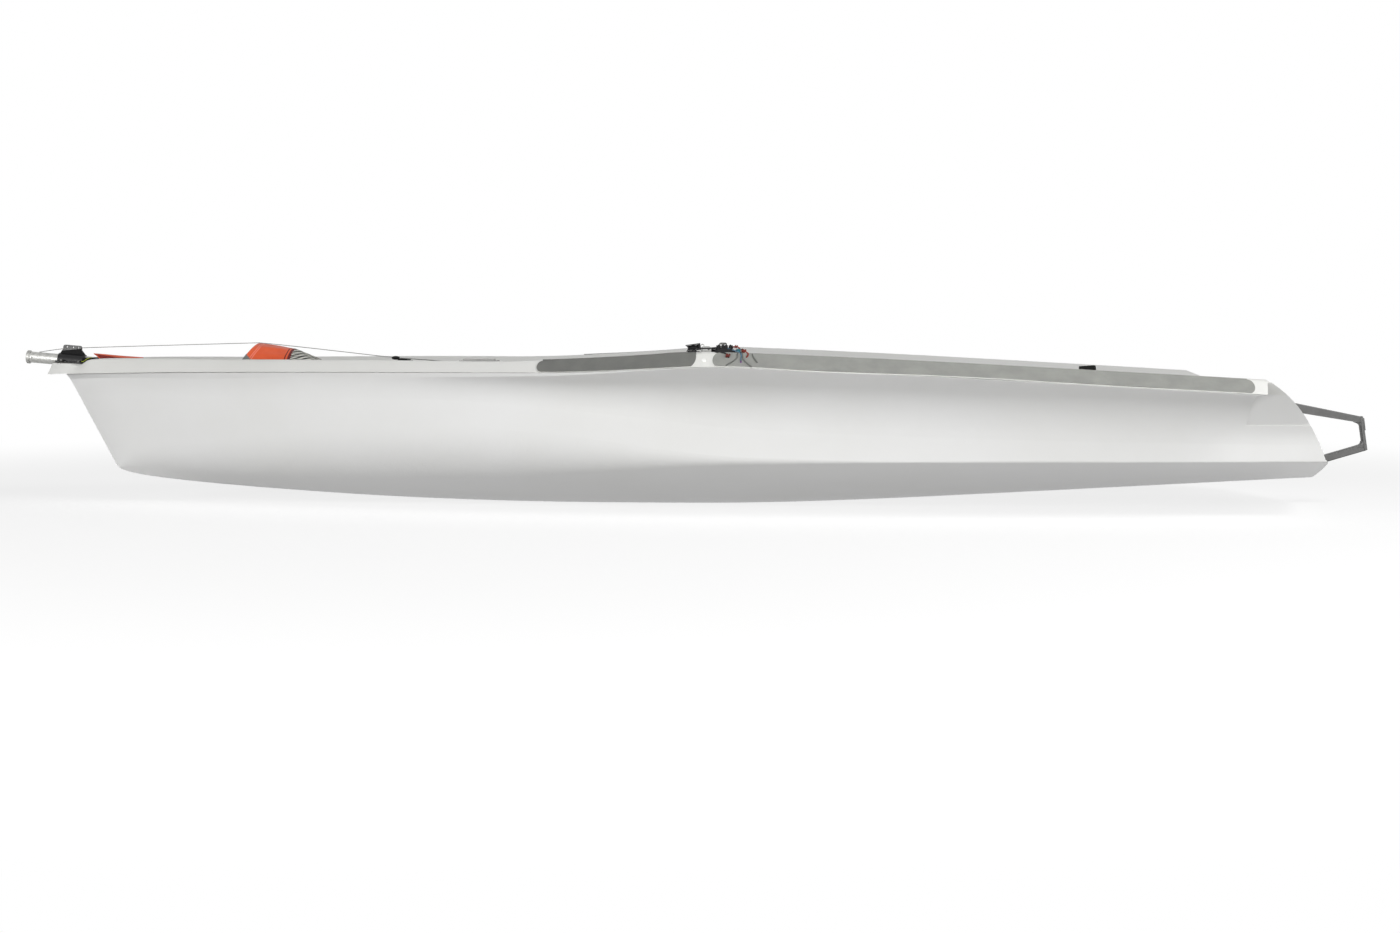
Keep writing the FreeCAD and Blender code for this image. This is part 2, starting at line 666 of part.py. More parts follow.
def build_gantry():
    """Post for the rudder, two splayed upper legs, one lower leg and their feet."""
    top = Vector(POST_TOP[0], 0, POST_TOP[1])
    foot = Vector(POST_FOOT[0], 0, POST_FOOT[1])
    down = foot - top
    down.normalize()
    post = beam(top - down * POST_END, foot + down * POST_END, POST_WIDTH, POST_DEPTH,
                Vector(0, 1, 0))
    post = post.makeFillet(POST_ROUND, [e for e in post.Edges if lies_along(e, down)])
    bore = Part.makeCylinder(PINTLE_RADIUS, 300, top - down * 80, down)
    shapes = {"gantry_post": post.cut(bore)}
    normal = transom_normal(UPPER_FOOT_Z)
    surface = Vector(transom_x(UPPER_FOOT_Z), UPPER_FOOT_Y, UPPER_FOOT_Z)
    face = surface + normal * FOOT_THICK
    leg = tapered_leg(face, top).cut(post)
    plate = beam(surface, face, FOOT_SIZE, FOOT_SIZE, Vector(0, 1, 0))
    leg = leg.cut(beam(surface - normal * 200, face, 300, 300, Vector(0, 1, 0)))
    leg = largest(leg.cut(box(-3000, 0, -200, LEG_SIZE / 4, 0, 1000)))
    shapes["gantry_leg_port"] = leg
    shapes["gantry_leg_starboard"] = mirror_y(leg)
    shapes["gantry_foot_port"] = plate
    shapes["gantry_foot_starboard"] = mirror_y(plate)
    normal = transom_normal(LOWER_FOOT_Z)
    surface = Vector(transom_x(LOWER_FOOT_Z), 0, LOWER_FOOT_Z)
    face = surface + normal * FOOT_THICK
    lower = beam(face, foot, 30, LEG_SIZE + 5, Vector(0, 1, 0))
    along = foot - face
    lower = lower.makeFillet(LEG_ROUND, [e for e in lower.Edges if lies_along(e, along)])
    lower = lower.cut(post)
    lower = lower.cut(beam(surface - normal * 200, face, 300, 300, Vector(0, 1, 0)))
    shapes["gantry_leg_lower"] = lower
    shapes["gantry_foot_lower"] = beam(surface, face, FOOT_SIZE, FOOT_SIZE, Vector(0, 1, 0))
    return shapes


# ---- deck gear ------------------------------------------------------------------------------

def surface_height(deck_solid, x, y):
    """Height of the deck's top at a place."""
    return Part.makeLine(Vector(x, y, 400), Vector(x, y, 700)).common(deck_solid).BoundBox.ZMax


def on_deck(solid, deck_solid):
    """A fitting modelled a little into the deck, trimmed to sit on it."""
    return largest(solid.cut(deck_solid))


def cam_cleat(x, y, z):
    """Base and two toothed cams that nip a line running along Y."""
    base = box(x - 12, x + 12, y - 19, y + 19, z, z + 5)
    shape = base.fuse(box(x - 12, x + 12, y - 3, y + 3, z + 4, z + 8))
    for side in (-1, 1):
        cam = Part.makeCylinder(7.5, 12, Vector(x + side * 7, y, z + 4), Vector(0, 0, 1))
        flat = box(x - 1.2, x + 1.2, y - 12, y + 12, z + 8, z + 20)
        shape = shape.fuse(cam.cut(flat))
        pin = Part.makeCylinder(2.6, 3, Vector(x + side * 7, y, z + 15), Vector(0, 0, 1))
        shape = shape.fuse(pin)
    return shape


def sheave(radius, bore, width):
    """Grooved wheel round Z, centred on the origin."""
    half = width / 2
    outline = [Vector(bore, 0, -half), Vector(radius, 0, -half), Vector(radius - 4, 0, -1),
               Vector(radius - 4, 0, 1), Vector(radius, 0, half), Vector(bore, 0, half)]
    face = Part.Face(Part.makePolygon(outline + outline[:1]))
    return face.revolve(Vector(0, 0, 0), Vector(0, 0, 1), 360)


def shoulder_set(deck_solid, name, place):
    """Cam cleats on their plate and a ratchet block on its foot, at a place across the boat."""
    shapes = {}
    side, inboard = place
    y = ridge(BLOCK_X)[0] - inboard
    z = surface_height(deck_solid, sum(CLEAT_PLATE_X) / 2, y) + CLEAT_PLATE_THICK - 2
    plate = box(*CLEAT_PLATE_X, y - 20, y + 20, z - 10, z + 2)
    plate = plate.makeFillet(8, [e for e in plate.Edges if is_vertical(e)])
    for x in CLEAT_X:
        plate = plate.fuse(cam_cleat(x, y, z + 2))
    shapes["cleat_plate_" + name] = plate
    x = BLOCK_X
    z = max(surface_height(deck_solid, x, y),
            surface_height(deck_solid, x, y + BLOCK_RADIUS) - 2)
    low = z + 3.5
    base = box(x - 18, x + 18, y - 16, y + 6, z - 10, z + 2)
    base = base.fuse(Part.makeCylinder(9, 20, Vector(x, y, z - 10), Vector(0, 0, 1)))
    cheek = Part.makeCylinder(BLOCK_RADIUS, 3, Vector(x, y, low), Vector(0, 0, 1))
    upper = Part.makeCylinder(BLOCK_RADIUS, 3, Vector(x, y, low + BLOCK_HEIGHT - 3))
    hub = Part.makeCylinder(5, BLOCK_HEIGHT, Vector(x, y, low), Vector(0, 0, 1))
    bridge = box(x - BLOCK_RADIUS, x - BLOCK_RADIUS + 6, y - 9, y + 9, low, low + BLOCK_HEIGHT)
    block = cheek.fuse(upper).fuse(hub).fuse(bridge)
    wheel = sheave(BLOCK_RADIUS - 2, 5 + SEAT, BLOCK_HEIGHT - 7)
    wheel.translate(Vector(x, y, low + BLOCK_HEIGHT / 2))
    wheel = wheel.cut(box(x - BLOCK_RADIUS - 1, x - BLOCK_RADIUS + 6 + SEAT, y - 10, y + 10,
                          low, low + BLOCK_HEIGHT))
    above = box(x - 60, x + 60, y - 60, y + 60, low, low + 60)
    for shape in (block, wheel, above):
        shape.rotate(Vector(x, y, low), Vector(0, 1, 0), BLOCK_TILT)
    shapes["block_foot_" + name] = base.cut(above)
    shapes["ratchet_block_" + name] = block
    shapes["ratchet_sheave_" + name] = wheel
    if side < 0:
        shapes = {key: mirror_y(shape) for key, shape in shapes.items()}
    for key in ("cleat_plate_" + name, "block_foot_" + name):
        shapes[key] = on_deck(shapes[key], deck_solid)
    return shapes


def chainplate_frame():
    """Middle of the port shroud holes, the plate's outward normal and the way up its face."""
    lean = math.radians(CHAINPLATE_LEAN)
    up = Vector(0, -math.sin(lean), math.cos(lean))
    out = Vector(0, math.cos(lean), math.sin(lean))
    half, height = ridge(CHAINPLATE_X)
    return Vector(CHAINPLATE_X, half - CHAINPLATE_IN, height + CHAINPLATE_TOP - 10), out, up


def build_chainplates(deck_solid):
    """Steel straps that take the shrouds, one a side."""
    middle, out, up = chainplate_frame()
    forward = Vector(1, 0, 0)
    strap = beam(middle - up * 70, middle + up * 10, 32, CHAINPLATE_THICK, forward)
    tip = (middle + up * 10).z - 1
    strap = strap.makeFillet(9, [e for e in strap.Edges
                                 if lies_along(e, out) and e.BoundBox.ZMin > tip])
    for offset in SHROUD_HOLES:
        start = middle + forward * offset - out * 15
        strap = strap.cut(Part.makeCylinder(SHROUD_HOLE_RADIUS, 30, start, out))
    strap = on_deck(strap, deck_solid)
    return {"chainplate_port": strap, "chainplate_starboard": mirror_y(strap)}


def build_shoulder_gear(deck_solid):
    """Blocks, cleats and chainplates at both shoulders, and the port wing's foot chock."""
    shapes = build_chainplates(deck_solid)
    for name, place in SHOULDER_SETS.items():
        shapes.update(shoulder_set(deck_solid, name, place))
    chock_x = FOOT_CHOCK_X
    half, height = ridge(chock_x)
    chock = prism_y([(chock_x - 30, height - 40), (chock_x + 30, height - 40),
                     (chock_x + 26, height + 9), (chock_x - 22, height + 12)],
                    half - 42, half - 12)
    chock = chock.makeFillet(3, [e for e in chock.Edges if e.BoundBox.ZMin > height])
    shapes["foot_chock"] = on_deck(chock, deck_solid)
    return shapes


def build_foredeck_gear(deck_solid):
    """Mast step, curved jib track with its car, chute hoop, sock and bow flap."""
    shapes = {}
    x = MAST_STEP_X
    z = deck_height(x)
    step = box(x - 75, x + 75, -40, 40, z - 20, z + STEP_PLATE)
    step = step.makeFillet(14, [e for e in step.Edges if is_vertical(e)])
    step = step.fuse(box(x - 55, x + 55, -24, 24, z, z + STEP_PLATE + STEP_WALL))
    step = step.cut(box(x - 60, x + 60, -18, 18, z + STEP_PLATE, z + 30))
    shapes["mast_step"] = on_deck(step, deck_solid)
    x = JIB_TRACK_X
    z = deck_height(x)
    centre_x = x + JIB_TRACK_RADIUS
    ring = Part.makeCylinder(JIB_TRACK_RADIUS + 11, 40, Vector(centre_x, 0, z - 30))
    ring = ring.cut(Part.makeCylinder(JIB_TRACK_RADIUS - 11, 60, Vector(centre_x, 0, z - 40)))
    ring = ring.common(box(x - 200, x + 400, -JIB_TRACK_HALF, JIB_TRACK_HALF, z - 15, z + 4))
    shapes["jib_track"] = on_deck(ring, deck_solid)
    car = box(x - 17, x + 17, -35, 35, z + 4, z + 14)
    car = car.makeFillet(4, [e for e in car.Edges if e.BoundBox.ZMin > z + 13])
    shapes["jib_car"] = car
    shapes.update(build_chute(deck_solid))
    return shapes


def chute_arch(x, lean, half_width, height, thick):
    """Closed outline of an arch standing on the deck, between its outer and inner curves."""
    base = deck_height(x) - 12
    place = raked_plane(x, base + 12, -lean)
    outer = [Vector(-half_width, base, 0), Vector(0, base + 12 + height, 0),
             Vector(half_width, base, 0)]
    inner = [Vector(-half_width + thick, base, 0), Vector(0, base + 12 + height - thick, 0),
             Vector(half_width - thick, base, 0)]
    edges = [Part.Arc(*[place(p) for p in outer]).toShape(),
             Part.makeLine(place(outer[2]), place(inner[2])),
             Part.Arc(*[place(p) for p in reversed(inner)]).toShape(),
             Part.makeLine(place(inner[0]), place(outer[0]))]
    return Part.Wire(edges)


def build_chute(deck_solid):
    """Hoop of the spinnaker chute, its fabric mouth and mesh tail, and the flap at the bow."""
    shapes = {}
    rows = CHUTE_ARCHES
    mouth = [chute_arch(*row, SOCK_WALL) for row in rows[:2]]
    tail = [chute_arch(*row, SOCK_WALL) for row in rows[2:]]
    shapes["sock_mouth"] = on_deck(Part.makeLoft(mouth, True, True), deck_solid)
    shapes["sock_mesh"] = on_deck(Part.makeLoft(tail, True, True), deck_solid)
    x, lean, half_width, height = rows[0]
    hoop = [chute_arch(x + 8.5, lean, half_width + 2, height + 2, HOOP_SIZE),
            chute_arch(x + 0.5, lean, half_width + 2, height + 2, HOOP_SIZE)]
    shapes["chute_hoop"] = on_deck(Part.makeLoft(hoop, True, True), deck_solid)
    front, back = BOW_FLAP_X
    outline = [(front, BOW_FLAP_TIP_Z), (front, BOW_FLAP_TIP_Z - 5),
               (front - 60, deck_height(front - 60) - 6), (back, deck_height(back) - 10),
               (back, deck_height(back) + 18)]
    flap = prism_y(outline, -BOW_FLAP_HALF, BOW_FLAP_HALF)
    flap = flap.cut(Part.makeCylinder(POLE_RADIUS + POLE_CLEARANCE, 600, pole_point(700),
                                      pole_axis()))
    shapes["bow_flap"] = on_deck(flap, deck_solid)
    return shapes


def build_cockpit_gear(liner):
    """Toe straps on their saddles, mainsheet base and block, and two bulkhead hatches."""
    shapes = {}
    for name, side in (("port", 1), ("starboard", -1)):
        y = side * TOE_STRAP_Y
        front, back = TOE_STRAP_X
        sole_front = lerp_table(COCKPIT_STATIONS, 2, front)
        sole_back = lerp_table(COCKPIT_STATIONS, 2, back)
        lift = TOE_STRAP_LIFT
        run = 180
        path = [(front, sole_front + 6 + SEAT), (front - run, sole_front + lift),
                (back + run, sole_back + lift), (back, sole_back + 6 + SEAT)]
        outline = path + [(px, pz + TOE_STRAP_THICK) for px, pz in reversed(path)]
        strap = prism_y(outline, y - TOE_STRAP_WIDTH / 2, y + TOE_STRAP_WIDTH / 2)
        shapes["toe_strap_" + name] = strap
        for end, x, sole in (("front", front, sole_front), ("back", back, sole_back)):
            plate = box(x - 14, x + 14, y - 30, y + 30, sole - 3, sole + 6)
            shapes["strap_plate_" + end + "_" + name] = on_deck(plate, liner)
    x = MAINSHEET_X
    sole = lerp_table(COCKPIT_STATIONS, 2, x)
    base = Part.makeCylinder(38, 11, Vector(x, 0, sole - 3)).fuse(
        Part.makeCone(26, 13, 30, Vector(x, 0, sole + 8)))
    shapes["mainsheet_base"] = on_deck(base, liner)
    arm = box(x - 5, x + 70, -11, 11, sole + 38, sole + 42)
    arm = arm.fuse(cam_cleat_turned(x + 52, 0, sole + 42))
    shapes["mainsheet_arm"] = arm
    cheek = Part.makeCylinder(26, 3, Vector(x, -9, sole + 42 + 28), Vector(0, 1, 0))
    cheek = cheek.fuse(mirror_y(cheek)).fuse(
        Part.makeCylinder(5, 18, Vector(x, -9, sole + 70), Vector(0, 1, 0)))
    cheek = cheek.fuse(box(x - 9, x + 9, -9, 9, sole + 42, sole + 52))
    wheel = sheave(22, 5 + SEAT, 11)
    wheel.rotate(Vector(0, 0, 0), Vector(1, 0, 0), 90)
    wheel.translate(Vector(x, 0, sole + 70))
    shapes["mainsheet_block"] = cheek
    shapes["mainsheet_sheave"] = wheel.cut(box(x - 10, x + 10, -9, 9, sole + 40, sole + 52 + SEAT))
    x = COCKPIT_STATIONS[0][0]
    for name, side in (("port", 1), ("starboard", -1)):
        centre = Vector(x, side * HATCH_Y, HATCH_Z)
        rim = Part.makeCylinder(HATCH_RADIUS, 7, centre, Vector(-1, 0, 0))
        lid = Part.makeCylinder(HATCH_RADIUS - 14, 11, centre, Vector(-1, 0, 0))
        rib = box(x - 15, x - 10, centre.y - 34, centre.y + 34, HATCH_Z - 5, HATCH_Z + 5)
        shapes["hatch_" + name] = rim.fuse(lid).fuse(rib)
    return shapes


def cam_cleat_turned(x, y, z):
    """Cam cleat that nips a line running along X."""
    cleat = cam_cleat(0, 0, 0)
    cleat.rotate(Vector(0, 0, 0), Vector(0, 0, 1), 90)
    cleat.translate(Vector(x, y, z))
    return cleat


def build():
    """All sub-parts by name."""
    deck_solid, shapes = build_mouldings()
    shapes.update(build_pads(deck_solid))
    shapes.update(build_trunk())
    shapes.update(build_bowsprit())
    shapes.update(build_bow_fitting(deck_solid))
    shapes.update(build_foredeck_gear(deck_solid))
    shapes.update(build_shoulder_gear(deck_solid))
    shapes.update(build_cockpit_gear(shapes["cockpit_liner"]))
    shapes.update(build_gantry())
    return shapes


if __name__ == "__main__":
    for name, shape in build().items():
        bounds = shape.BoundBox
        print(name, len(shape.Solids), shape.isValid(), round(shape.Volume / 1e6, 3),
              [round(v) for v in (bounds.XMin, bounds.XMax, bounds.YMin, bounds.YMax,
                                  bounds.ZMin, bounds.ZMax)])
        shape.exportStep("parts/" + name + ".step")
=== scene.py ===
"""Looks of a two-person skiff dinghy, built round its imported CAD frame.

Metres, in the frame of the part: +X forward, +Y to port, +Z up.
"""

from __future__ import annotations

import json
import logging
import math
from dataclasses import dataclass
from enum import Enum
from typing import Callable

import bpy
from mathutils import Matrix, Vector


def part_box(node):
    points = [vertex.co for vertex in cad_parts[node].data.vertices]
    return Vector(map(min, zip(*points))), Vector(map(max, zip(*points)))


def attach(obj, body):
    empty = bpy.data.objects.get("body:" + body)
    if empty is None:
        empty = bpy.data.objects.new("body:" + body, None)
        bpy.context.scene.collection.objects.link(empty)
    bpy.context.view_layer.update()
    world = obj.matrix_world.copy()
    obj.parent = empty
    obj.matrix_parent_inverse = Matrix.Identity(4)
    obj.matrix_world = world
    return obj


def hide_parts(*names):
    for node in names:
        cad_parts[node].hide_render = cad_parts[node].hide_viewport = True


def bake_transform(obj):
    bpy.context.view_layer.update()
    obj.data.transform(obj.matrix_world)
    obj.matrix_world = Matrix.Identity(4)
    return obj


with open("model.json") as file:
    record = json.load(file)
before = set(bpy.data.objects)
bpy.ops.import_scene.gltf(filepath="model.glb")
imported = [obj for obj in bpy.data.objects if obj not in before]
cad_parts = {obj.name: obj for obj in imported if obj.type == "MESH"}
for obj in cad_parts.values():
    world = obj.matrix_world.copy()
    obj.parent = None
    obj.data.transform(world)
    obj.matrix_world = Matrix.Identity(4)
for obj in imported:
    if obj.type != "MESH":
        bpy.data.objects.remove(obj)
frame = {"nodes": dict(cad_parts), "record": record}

LOG = logging.getLogger("dinghy")
MM = 0.001
BOAT = "boat"
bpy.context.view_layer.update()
SIDES = ((1, "port"), (-1, "starboard"))
DOWN = Vector((0, 0, -1))
UP = Vector((0, 0, 1))
FORWARD = Vector((1, 0, 0))
TO_STARBOARD = Vector((0, -1, 0))
# Lines are let fall on the deck from here, above everything, or sent in from abeam
ABOVE = 0.7
ABEAM = 1.5
# The pole and its fitting point this far up
POLE_DEGREES = 4.8
POLE_UP = Vector((-0.0837, 0, 0.9965))
SMOOTH_DEGREES = 38


# ---- colour and nodes -------------------------------------------------------------------------


def linear(code: str, alpha: float = 1.0) -> tuple[float, float, float, float]:
    """Turns an sRGB hex colour into linear light.

    Args:
        code: Six hex digits after a hash sign.
        alpha: Opacity that goes with the colour.

    Returns:
        Red, green, blue and alpha.
    """
    parts = [int(code[i : i + 2], 16) / 255 for i in (1, 3, 5)]
    light = [p / 12.92 if p <= 0.04045 else ((p + 0.055) / 1.055) ** 2.4 for p in parts]
    return (light[0], light[1], light[2], alpha)


def add_node(
    tree: bpy.types.NodeTree, kind: str, settings: dict | None = None, links: dict | None = None
) -> bpy.types.Node:
    """Adds a node, gives it its settings and joins other nodes to its inputs.

    Args:
        tree: Node tree that takes the node.
        kind: The node's type name, without the ShaderNode in front.
        settings: Property names, or input names or numbers, with their values.
        links: Input names or numbers with the output socket that feeds each.

    Returns:
        The new node.
    """
    node = tree.nodes.new("ShaderNode" + kind)
    for key, value in (settings or {}).items():
        if isinstance(key, str) and hasattr(node, key):
            setattr(node, key, value)
        else:
            node.inputs[key].default_value = value
    for key, socket in (links or {}).items():
        tree.links.new(socket, node.inputs[key])
    return node


class Pattern(Enum):
    """How a surface was made, which decides its relief and its colour drift."""

    GELCOAT = "sprayed against a polished mould"
    FOAM = "closed-cell foam sheet"
    BRUSHED = "drawn or brushed metal"
    MOTTLED = "handled bare tube"
    MOULDED = "injection moulded"
    POWDER = "powder coated"
    WOVEN = "woven cloth"
    BRAID = "braided rope"
    NET = "open net in pleats"


@dataclass(frozen=True)
class Finish:
    """One surface finish.

    Attributes:
        name: The material's name.
        pattern: How the surface was made.
        colour: Main colour, sRGB hex.
        drift: Second colour of the slow variation over the surface; for the net, the dark of its
            painted fold shade.
        roughness: Of the main lobe.
        grain_mm: Size of one grain, cell, thread or pebble.
        relief_mm: Height of the relief.
        metallic: One for bare metal.
        coat: Weight of the clear coat.
        sheen: Weight of the fibres' sheen.
        specular: Level of the plain reflection, half for most plastics and paints.
    """

    name: str
    pattern: Pattern
    colour: str
    drift: str
    roughness: float
    grain_mm: float
    relief_mm: float
    metallic: float = 0.0
    coat: float = 0.0
    sheen: float = 0.0
    specular: float = 0.5

    def material(self) -> bpy.types.Material:
        """Gives the Blender material, made on first use."""
        made = bpy.data.materials.get(self.name)
        if made:
            return made
        made = bpy.data.materials.new(self.name)
        made.use_nodes = True
        tree = made.node_tree
        tree.nodes.clear()
        shader = add_node(
            tree,
            "BsdfPrincipled",
            {
                "Roughness": self.roughness,
                "Metallic": self.metallic,
                "Coat Weight": self.coat,
                "Coat Roughness": 0.08,
                "Sheen Weight": self.sheen,
                "Sheen Roughness": 0.45,
                "Specular IOR Level": self.specular,
            },
        )
        output = add_node(tree, "OutputMaterial")
        tree.links.new(shader.outputs[0], output.inputs[0])
        self.dress(tree, shader)
        return made

    def dress(self, tree: bpy.types.NodeTree, shader: bpy.types.Node) -> None:
        """Adds the colour drift, or a net's painted fold shade, and the relief to the shader.

        Args:
            tree: The material's node tree.
            shader: Its surface shader.
        """
        place = add_node(tree, "TexCoord").outputs["Object"]
        height = self.height(tree, place)
        slow = add_node(
            tree,
            "TexNoise",
            {"Scale": 1.0 / (self.slow_mm() * MM), "Detail": 4.0, "Roughness": 0.55},
            {"Vector": place},
        )
        spread, value = (0.35, 0.7), slow.outputs["Fac"]
        # A net's colour takes bands of painted shade along its pleats in place of the slow drift
        if self.pattern is Pattern.NET:
            spread, value = (0.42, 0.58), self.pleats(tree)
        share = add_node(
            tree, "MapRange", {"From Min": spread[0], "From Max": spread[1]}, {"Value": value}
        )
        mix = add_node(
            tree,
            "Mix",
            {"data_type": "RGBA", 6: linear(self.colour), 7: linear(self.drift)},
            {0: share.outputs[0]},
        )
        tree.links.new(mix.outputs[2], shader.inputs["Base Color"])
        bump = add_node(
            tree, "Bump", {"Distance": self.relief_mm * MM, "Strength": 1.0}, {"Height": height}
        )
        tree.links.new(bump.outputs[0], shader.inputs["Normal"])

    def pleats(self, tree: bpy.types.NodeTree) -> bpy.types.NodeSocket:
        """Painted shade: light and dark bands in the colour, for the light and shade on the folds
        of a gathered net, on its own UV map.

        Args:
            tree: The material's node tree.

        Returns:
            The socket with the bands.
        """
        sheet = add_node(tree, "TexCoord").outputs["UV"]
        turned = add_node(tree, "Mapping", {"Scale": (1.0, 0.25, 1.0)}, {"Vector": sheet})
        bands = add_node(
            tree,
            "TexWave",
            {"bands_direction": "DIAGONAL", "Scale": 12.5, "Distortion": 0.4, "Detail": 1.0},
            {"Vector": turned.outputs[0]},
        )
        return bands.outputs["Fac"]

    def slow_mm(self) -> float:
        """Size of the slow colour variation."""
        sizes = {Pattern.GELCOAT: 420.0, Pattern.FOAM: 60.0, Pattern.MOTTLED: 9.0}
        return sizes.get(self.pattern, 35.0)

    def height(self, tree: bpy.types.NodeTree, place: bpy.types.NodeSocket) -> bpy.types.NodeSocket:
        """Height field of the relief, from nought to one.

        Args:
            tree: The material's node tree.
            place: Object coordinates.

        Returns:
            The socket that carries the height.
        """
        scale = 1.0 / (self.grain_mm * MM)
        if self.pattern is Pattern.FOAM:
            cells = add_node(
                tree,
                "TexVoronoi",
                {"feature": "SMOOTH_F1", "Scale": scale, "Smoothness": 0.4},
                {"Vector": place},
            )
            return cells.outputs["Distance"]
        if self.pattern in (Pattern.WOVEN, Pattern.NET):
            return self.weave(tree, place, scale)
        if self.pattern in (Pattern.BRUSHED, Pattern.MOTTLED):
            stretched = add_node(tree, "Mapping", {"Scale": (0.06, 1.0, 1.0)}, {"Vector": place})
            place = stretched.outputs[0]
        noise = add_node(
            tree, "TexNoise", {"Scale": scale, "Detail": 3.0, "Roughness": 0.6}, {"Vector": place}
        )
        return noise.outputs["Fac"]

    def weave(
        self, tree: bpy.types.NodeTree, place: bpy.types.NodeSocket, scale: float
    ) -> bpy.types.NodeSocket:
        """Over and under of a plain weave.

        Args:
            tree: The material's node tree.
            place: Object coordinates.
            scale: Threads to the metre.

        Returns:
            The socket that carries the height.
        """
        waves = []
        for direction in ("X", "Y"):
            wave = add_node(
                tree,
                "TexWave",
                {"bands_direction": direction, "Scale": scale * math.pi / 10, "Distortion": 0.4},
                {"Vector": place},
            )
            waves.append(wave.outputs["Fac"])
        both = add_node(tree, "Math", {"operation": "MULTIPLY"}, {0: waves[0], 1: waves[1]})
        return both.outputs[0]


class Finishes:
    """Every finish on the boat."""

    # Polished gelcoat: a wet-looking skin with a faint peel and a slow drift in white
    HULL = Finish(
        "polished_gelcoat", Pattern.GELCOAT, "#E9E9E8", "#E5E5E3", 0.30, 9.0, 0.02, coat=0.12
    )
    # Satin gelcoat of the deck moulding, a shade duller than the hull
    DECK = Finish(
        "satin_gelcoat", Pattern.GELCOAT, "#E8E8E5", "#E3E3DF", 0.40, 7.0, 0.03, coat=0.05
    )
    # Foam sheet: dull, with open pores that catch dirt
    GRIP_DARK = Finish("foam_tread_dark", Pattern.FOAM, "#6E6F6C", "#777874", 0.9, 3.0, 0.3)
    GRIP_LIGHT = Finish("foam_tread_mid", Pattern.FOAM, "#8F908C", "#9A9B96", 0.88, 3.0, 0.3)
    # Bare tube that hands and the fitting have worn: bright and dull patches
    POLE = Finish("worn_alloy_tube", Pattern.MOTTLED, "#BABAB7", "#9E9E9B", 0.45, 2.0, 0.02, 1.0)
    COLLAR = Finish("cast_alloy_collar", Pattern.MOTTLED, "#AEAEAB", "#82827F", 0.5, 2.0, 0.03, 1.0)
    BRIGHT = Finish("machined_alloy", Pattern.BRUSHED, "#C4C4C2", "#B2B2B0", 0.35, 0.8, 0.01, 1.0)
    DULL = Finish("cast_alloy_dull", Pattern.BRUSHED, "#A5A5A3", "#979795", 0.55, 0.8, 0.02, 1.0)
    # Hard anodised: a black that stays slightly metallic, and greyer where it is worn
    BLACK_METAL = Finish(
        "black_hard_anodised", Pattern.BRUSHED, "#0D0D0E", "#131314", 0.42, 0.8, 0.01, specular=0.3
    )
    FIN = Finish("black_fin", Pattern.BRUSHED, "#070708", "#0C0C0C", 0.6, 0.8, 0.01, specular=0.12)
    WORN_BLACK = Finish(
        "worn_black_alloy", Pattern.BRUSHED, "#6B6B6B", "#565656", 0.5, 0.8, 0.02, specular=0.3
    )
    # Glass-filled nylon: dull with a fine grain from the mould
    NYLON = Finish(
        "glass_filled_nylon", Pattern.MOULDED, "#08080A", "#0E0E0F", 0.55, 0.9, 0.03, specular=0.18
    )
    RUBBER = Finish(
        "moulded_rubber", Pattern.MOULDED, "#090909", "#0E0E0E", 0.75, 1.2, 0.04, specular=0.15
    )
    STEEL = Finish("stainless_steel", Pattern.BRUSHED, "#A6A6A4", "#969694", 0.3, 0.6, 0.008, 1.0)
    DARK_STEEL = Finish("dark_steel", Pattern.BRUSHED, "#4E4E4D", "#3E3E3D", 0.45, 0.6, 0.01, 1.0)
    # Coated sailcloth: crisp, a little glossy, with the yarns just showing
    SOCK = Finish(
        "coated_sailcloth", Pattern.WOVEN, "#E86640", "#E05C36", 0.5, 1.6, 0.04, specular=0.3
    )
    # Net: its near-black second colour is painted shade, laid in bands along its pleats
    MESH = Finish("pleated_net", Pattern.NET, "#E2E2DA", "#1E1E1B", 0.8, 3.0, 0.2, specular=0.2)
    WEBBING = Finish(
        "black_webbing", Pattern.WOVEN, "#0E0E10", "#161618", 0.8, 1.8, 0.15, sheen=0.1
    )
    # Braided rope: polyester covers in their colours, dull, with the strands standing out
    RED_LINE = Finish("red_rope", Pattern.BRAID, "#84382F", "#63251F", 0.85, 1.5, 0.2)
    KNOT_RED = Finish("dark_red_rope", Pattern.BRAID, "#6B1F12", "#4A120B", 0.85, 1.5, 0.2)
    BLUE_LINE = Finish("blue_rope", Pattern.BRAID, "#5A7D93", "#44627A", 0.85, 1.2, 0.15)
    TEAL_LINE = Finish("teal_rope", Pattern.BRAID, "#2C6E77", "#1E4E5C", 0.85, 1.2, 0.15)
    GREY_LINE = Finish("grey_rope", Pattern.BRAID, "#858583", "#737371", 0.8, 1.2, 0.1)
    BLACK_LINE = Finish("black_rope", Pattern.BRAID, "#0B0B0C", "#161617", 0.85, 1.3, 0.15)
    SHOCK_CORD = Finish("grey_shock_cord", Pattern.BRAID, "#6C6E6A", "#5D5F5B", 0.85, 1.3, 0.15)
    PURPLE_LINE = Finish("purple_whipping", Pattern.BRAID, "#6A4E74", "#56405E", 0.8, 0.6, 0.1)
    LIME_LINE = Finish("lime_rope", Pattern.BRAID, "#A9B63C", "#7F8B2B", 0.85, 1.2, 0.15)
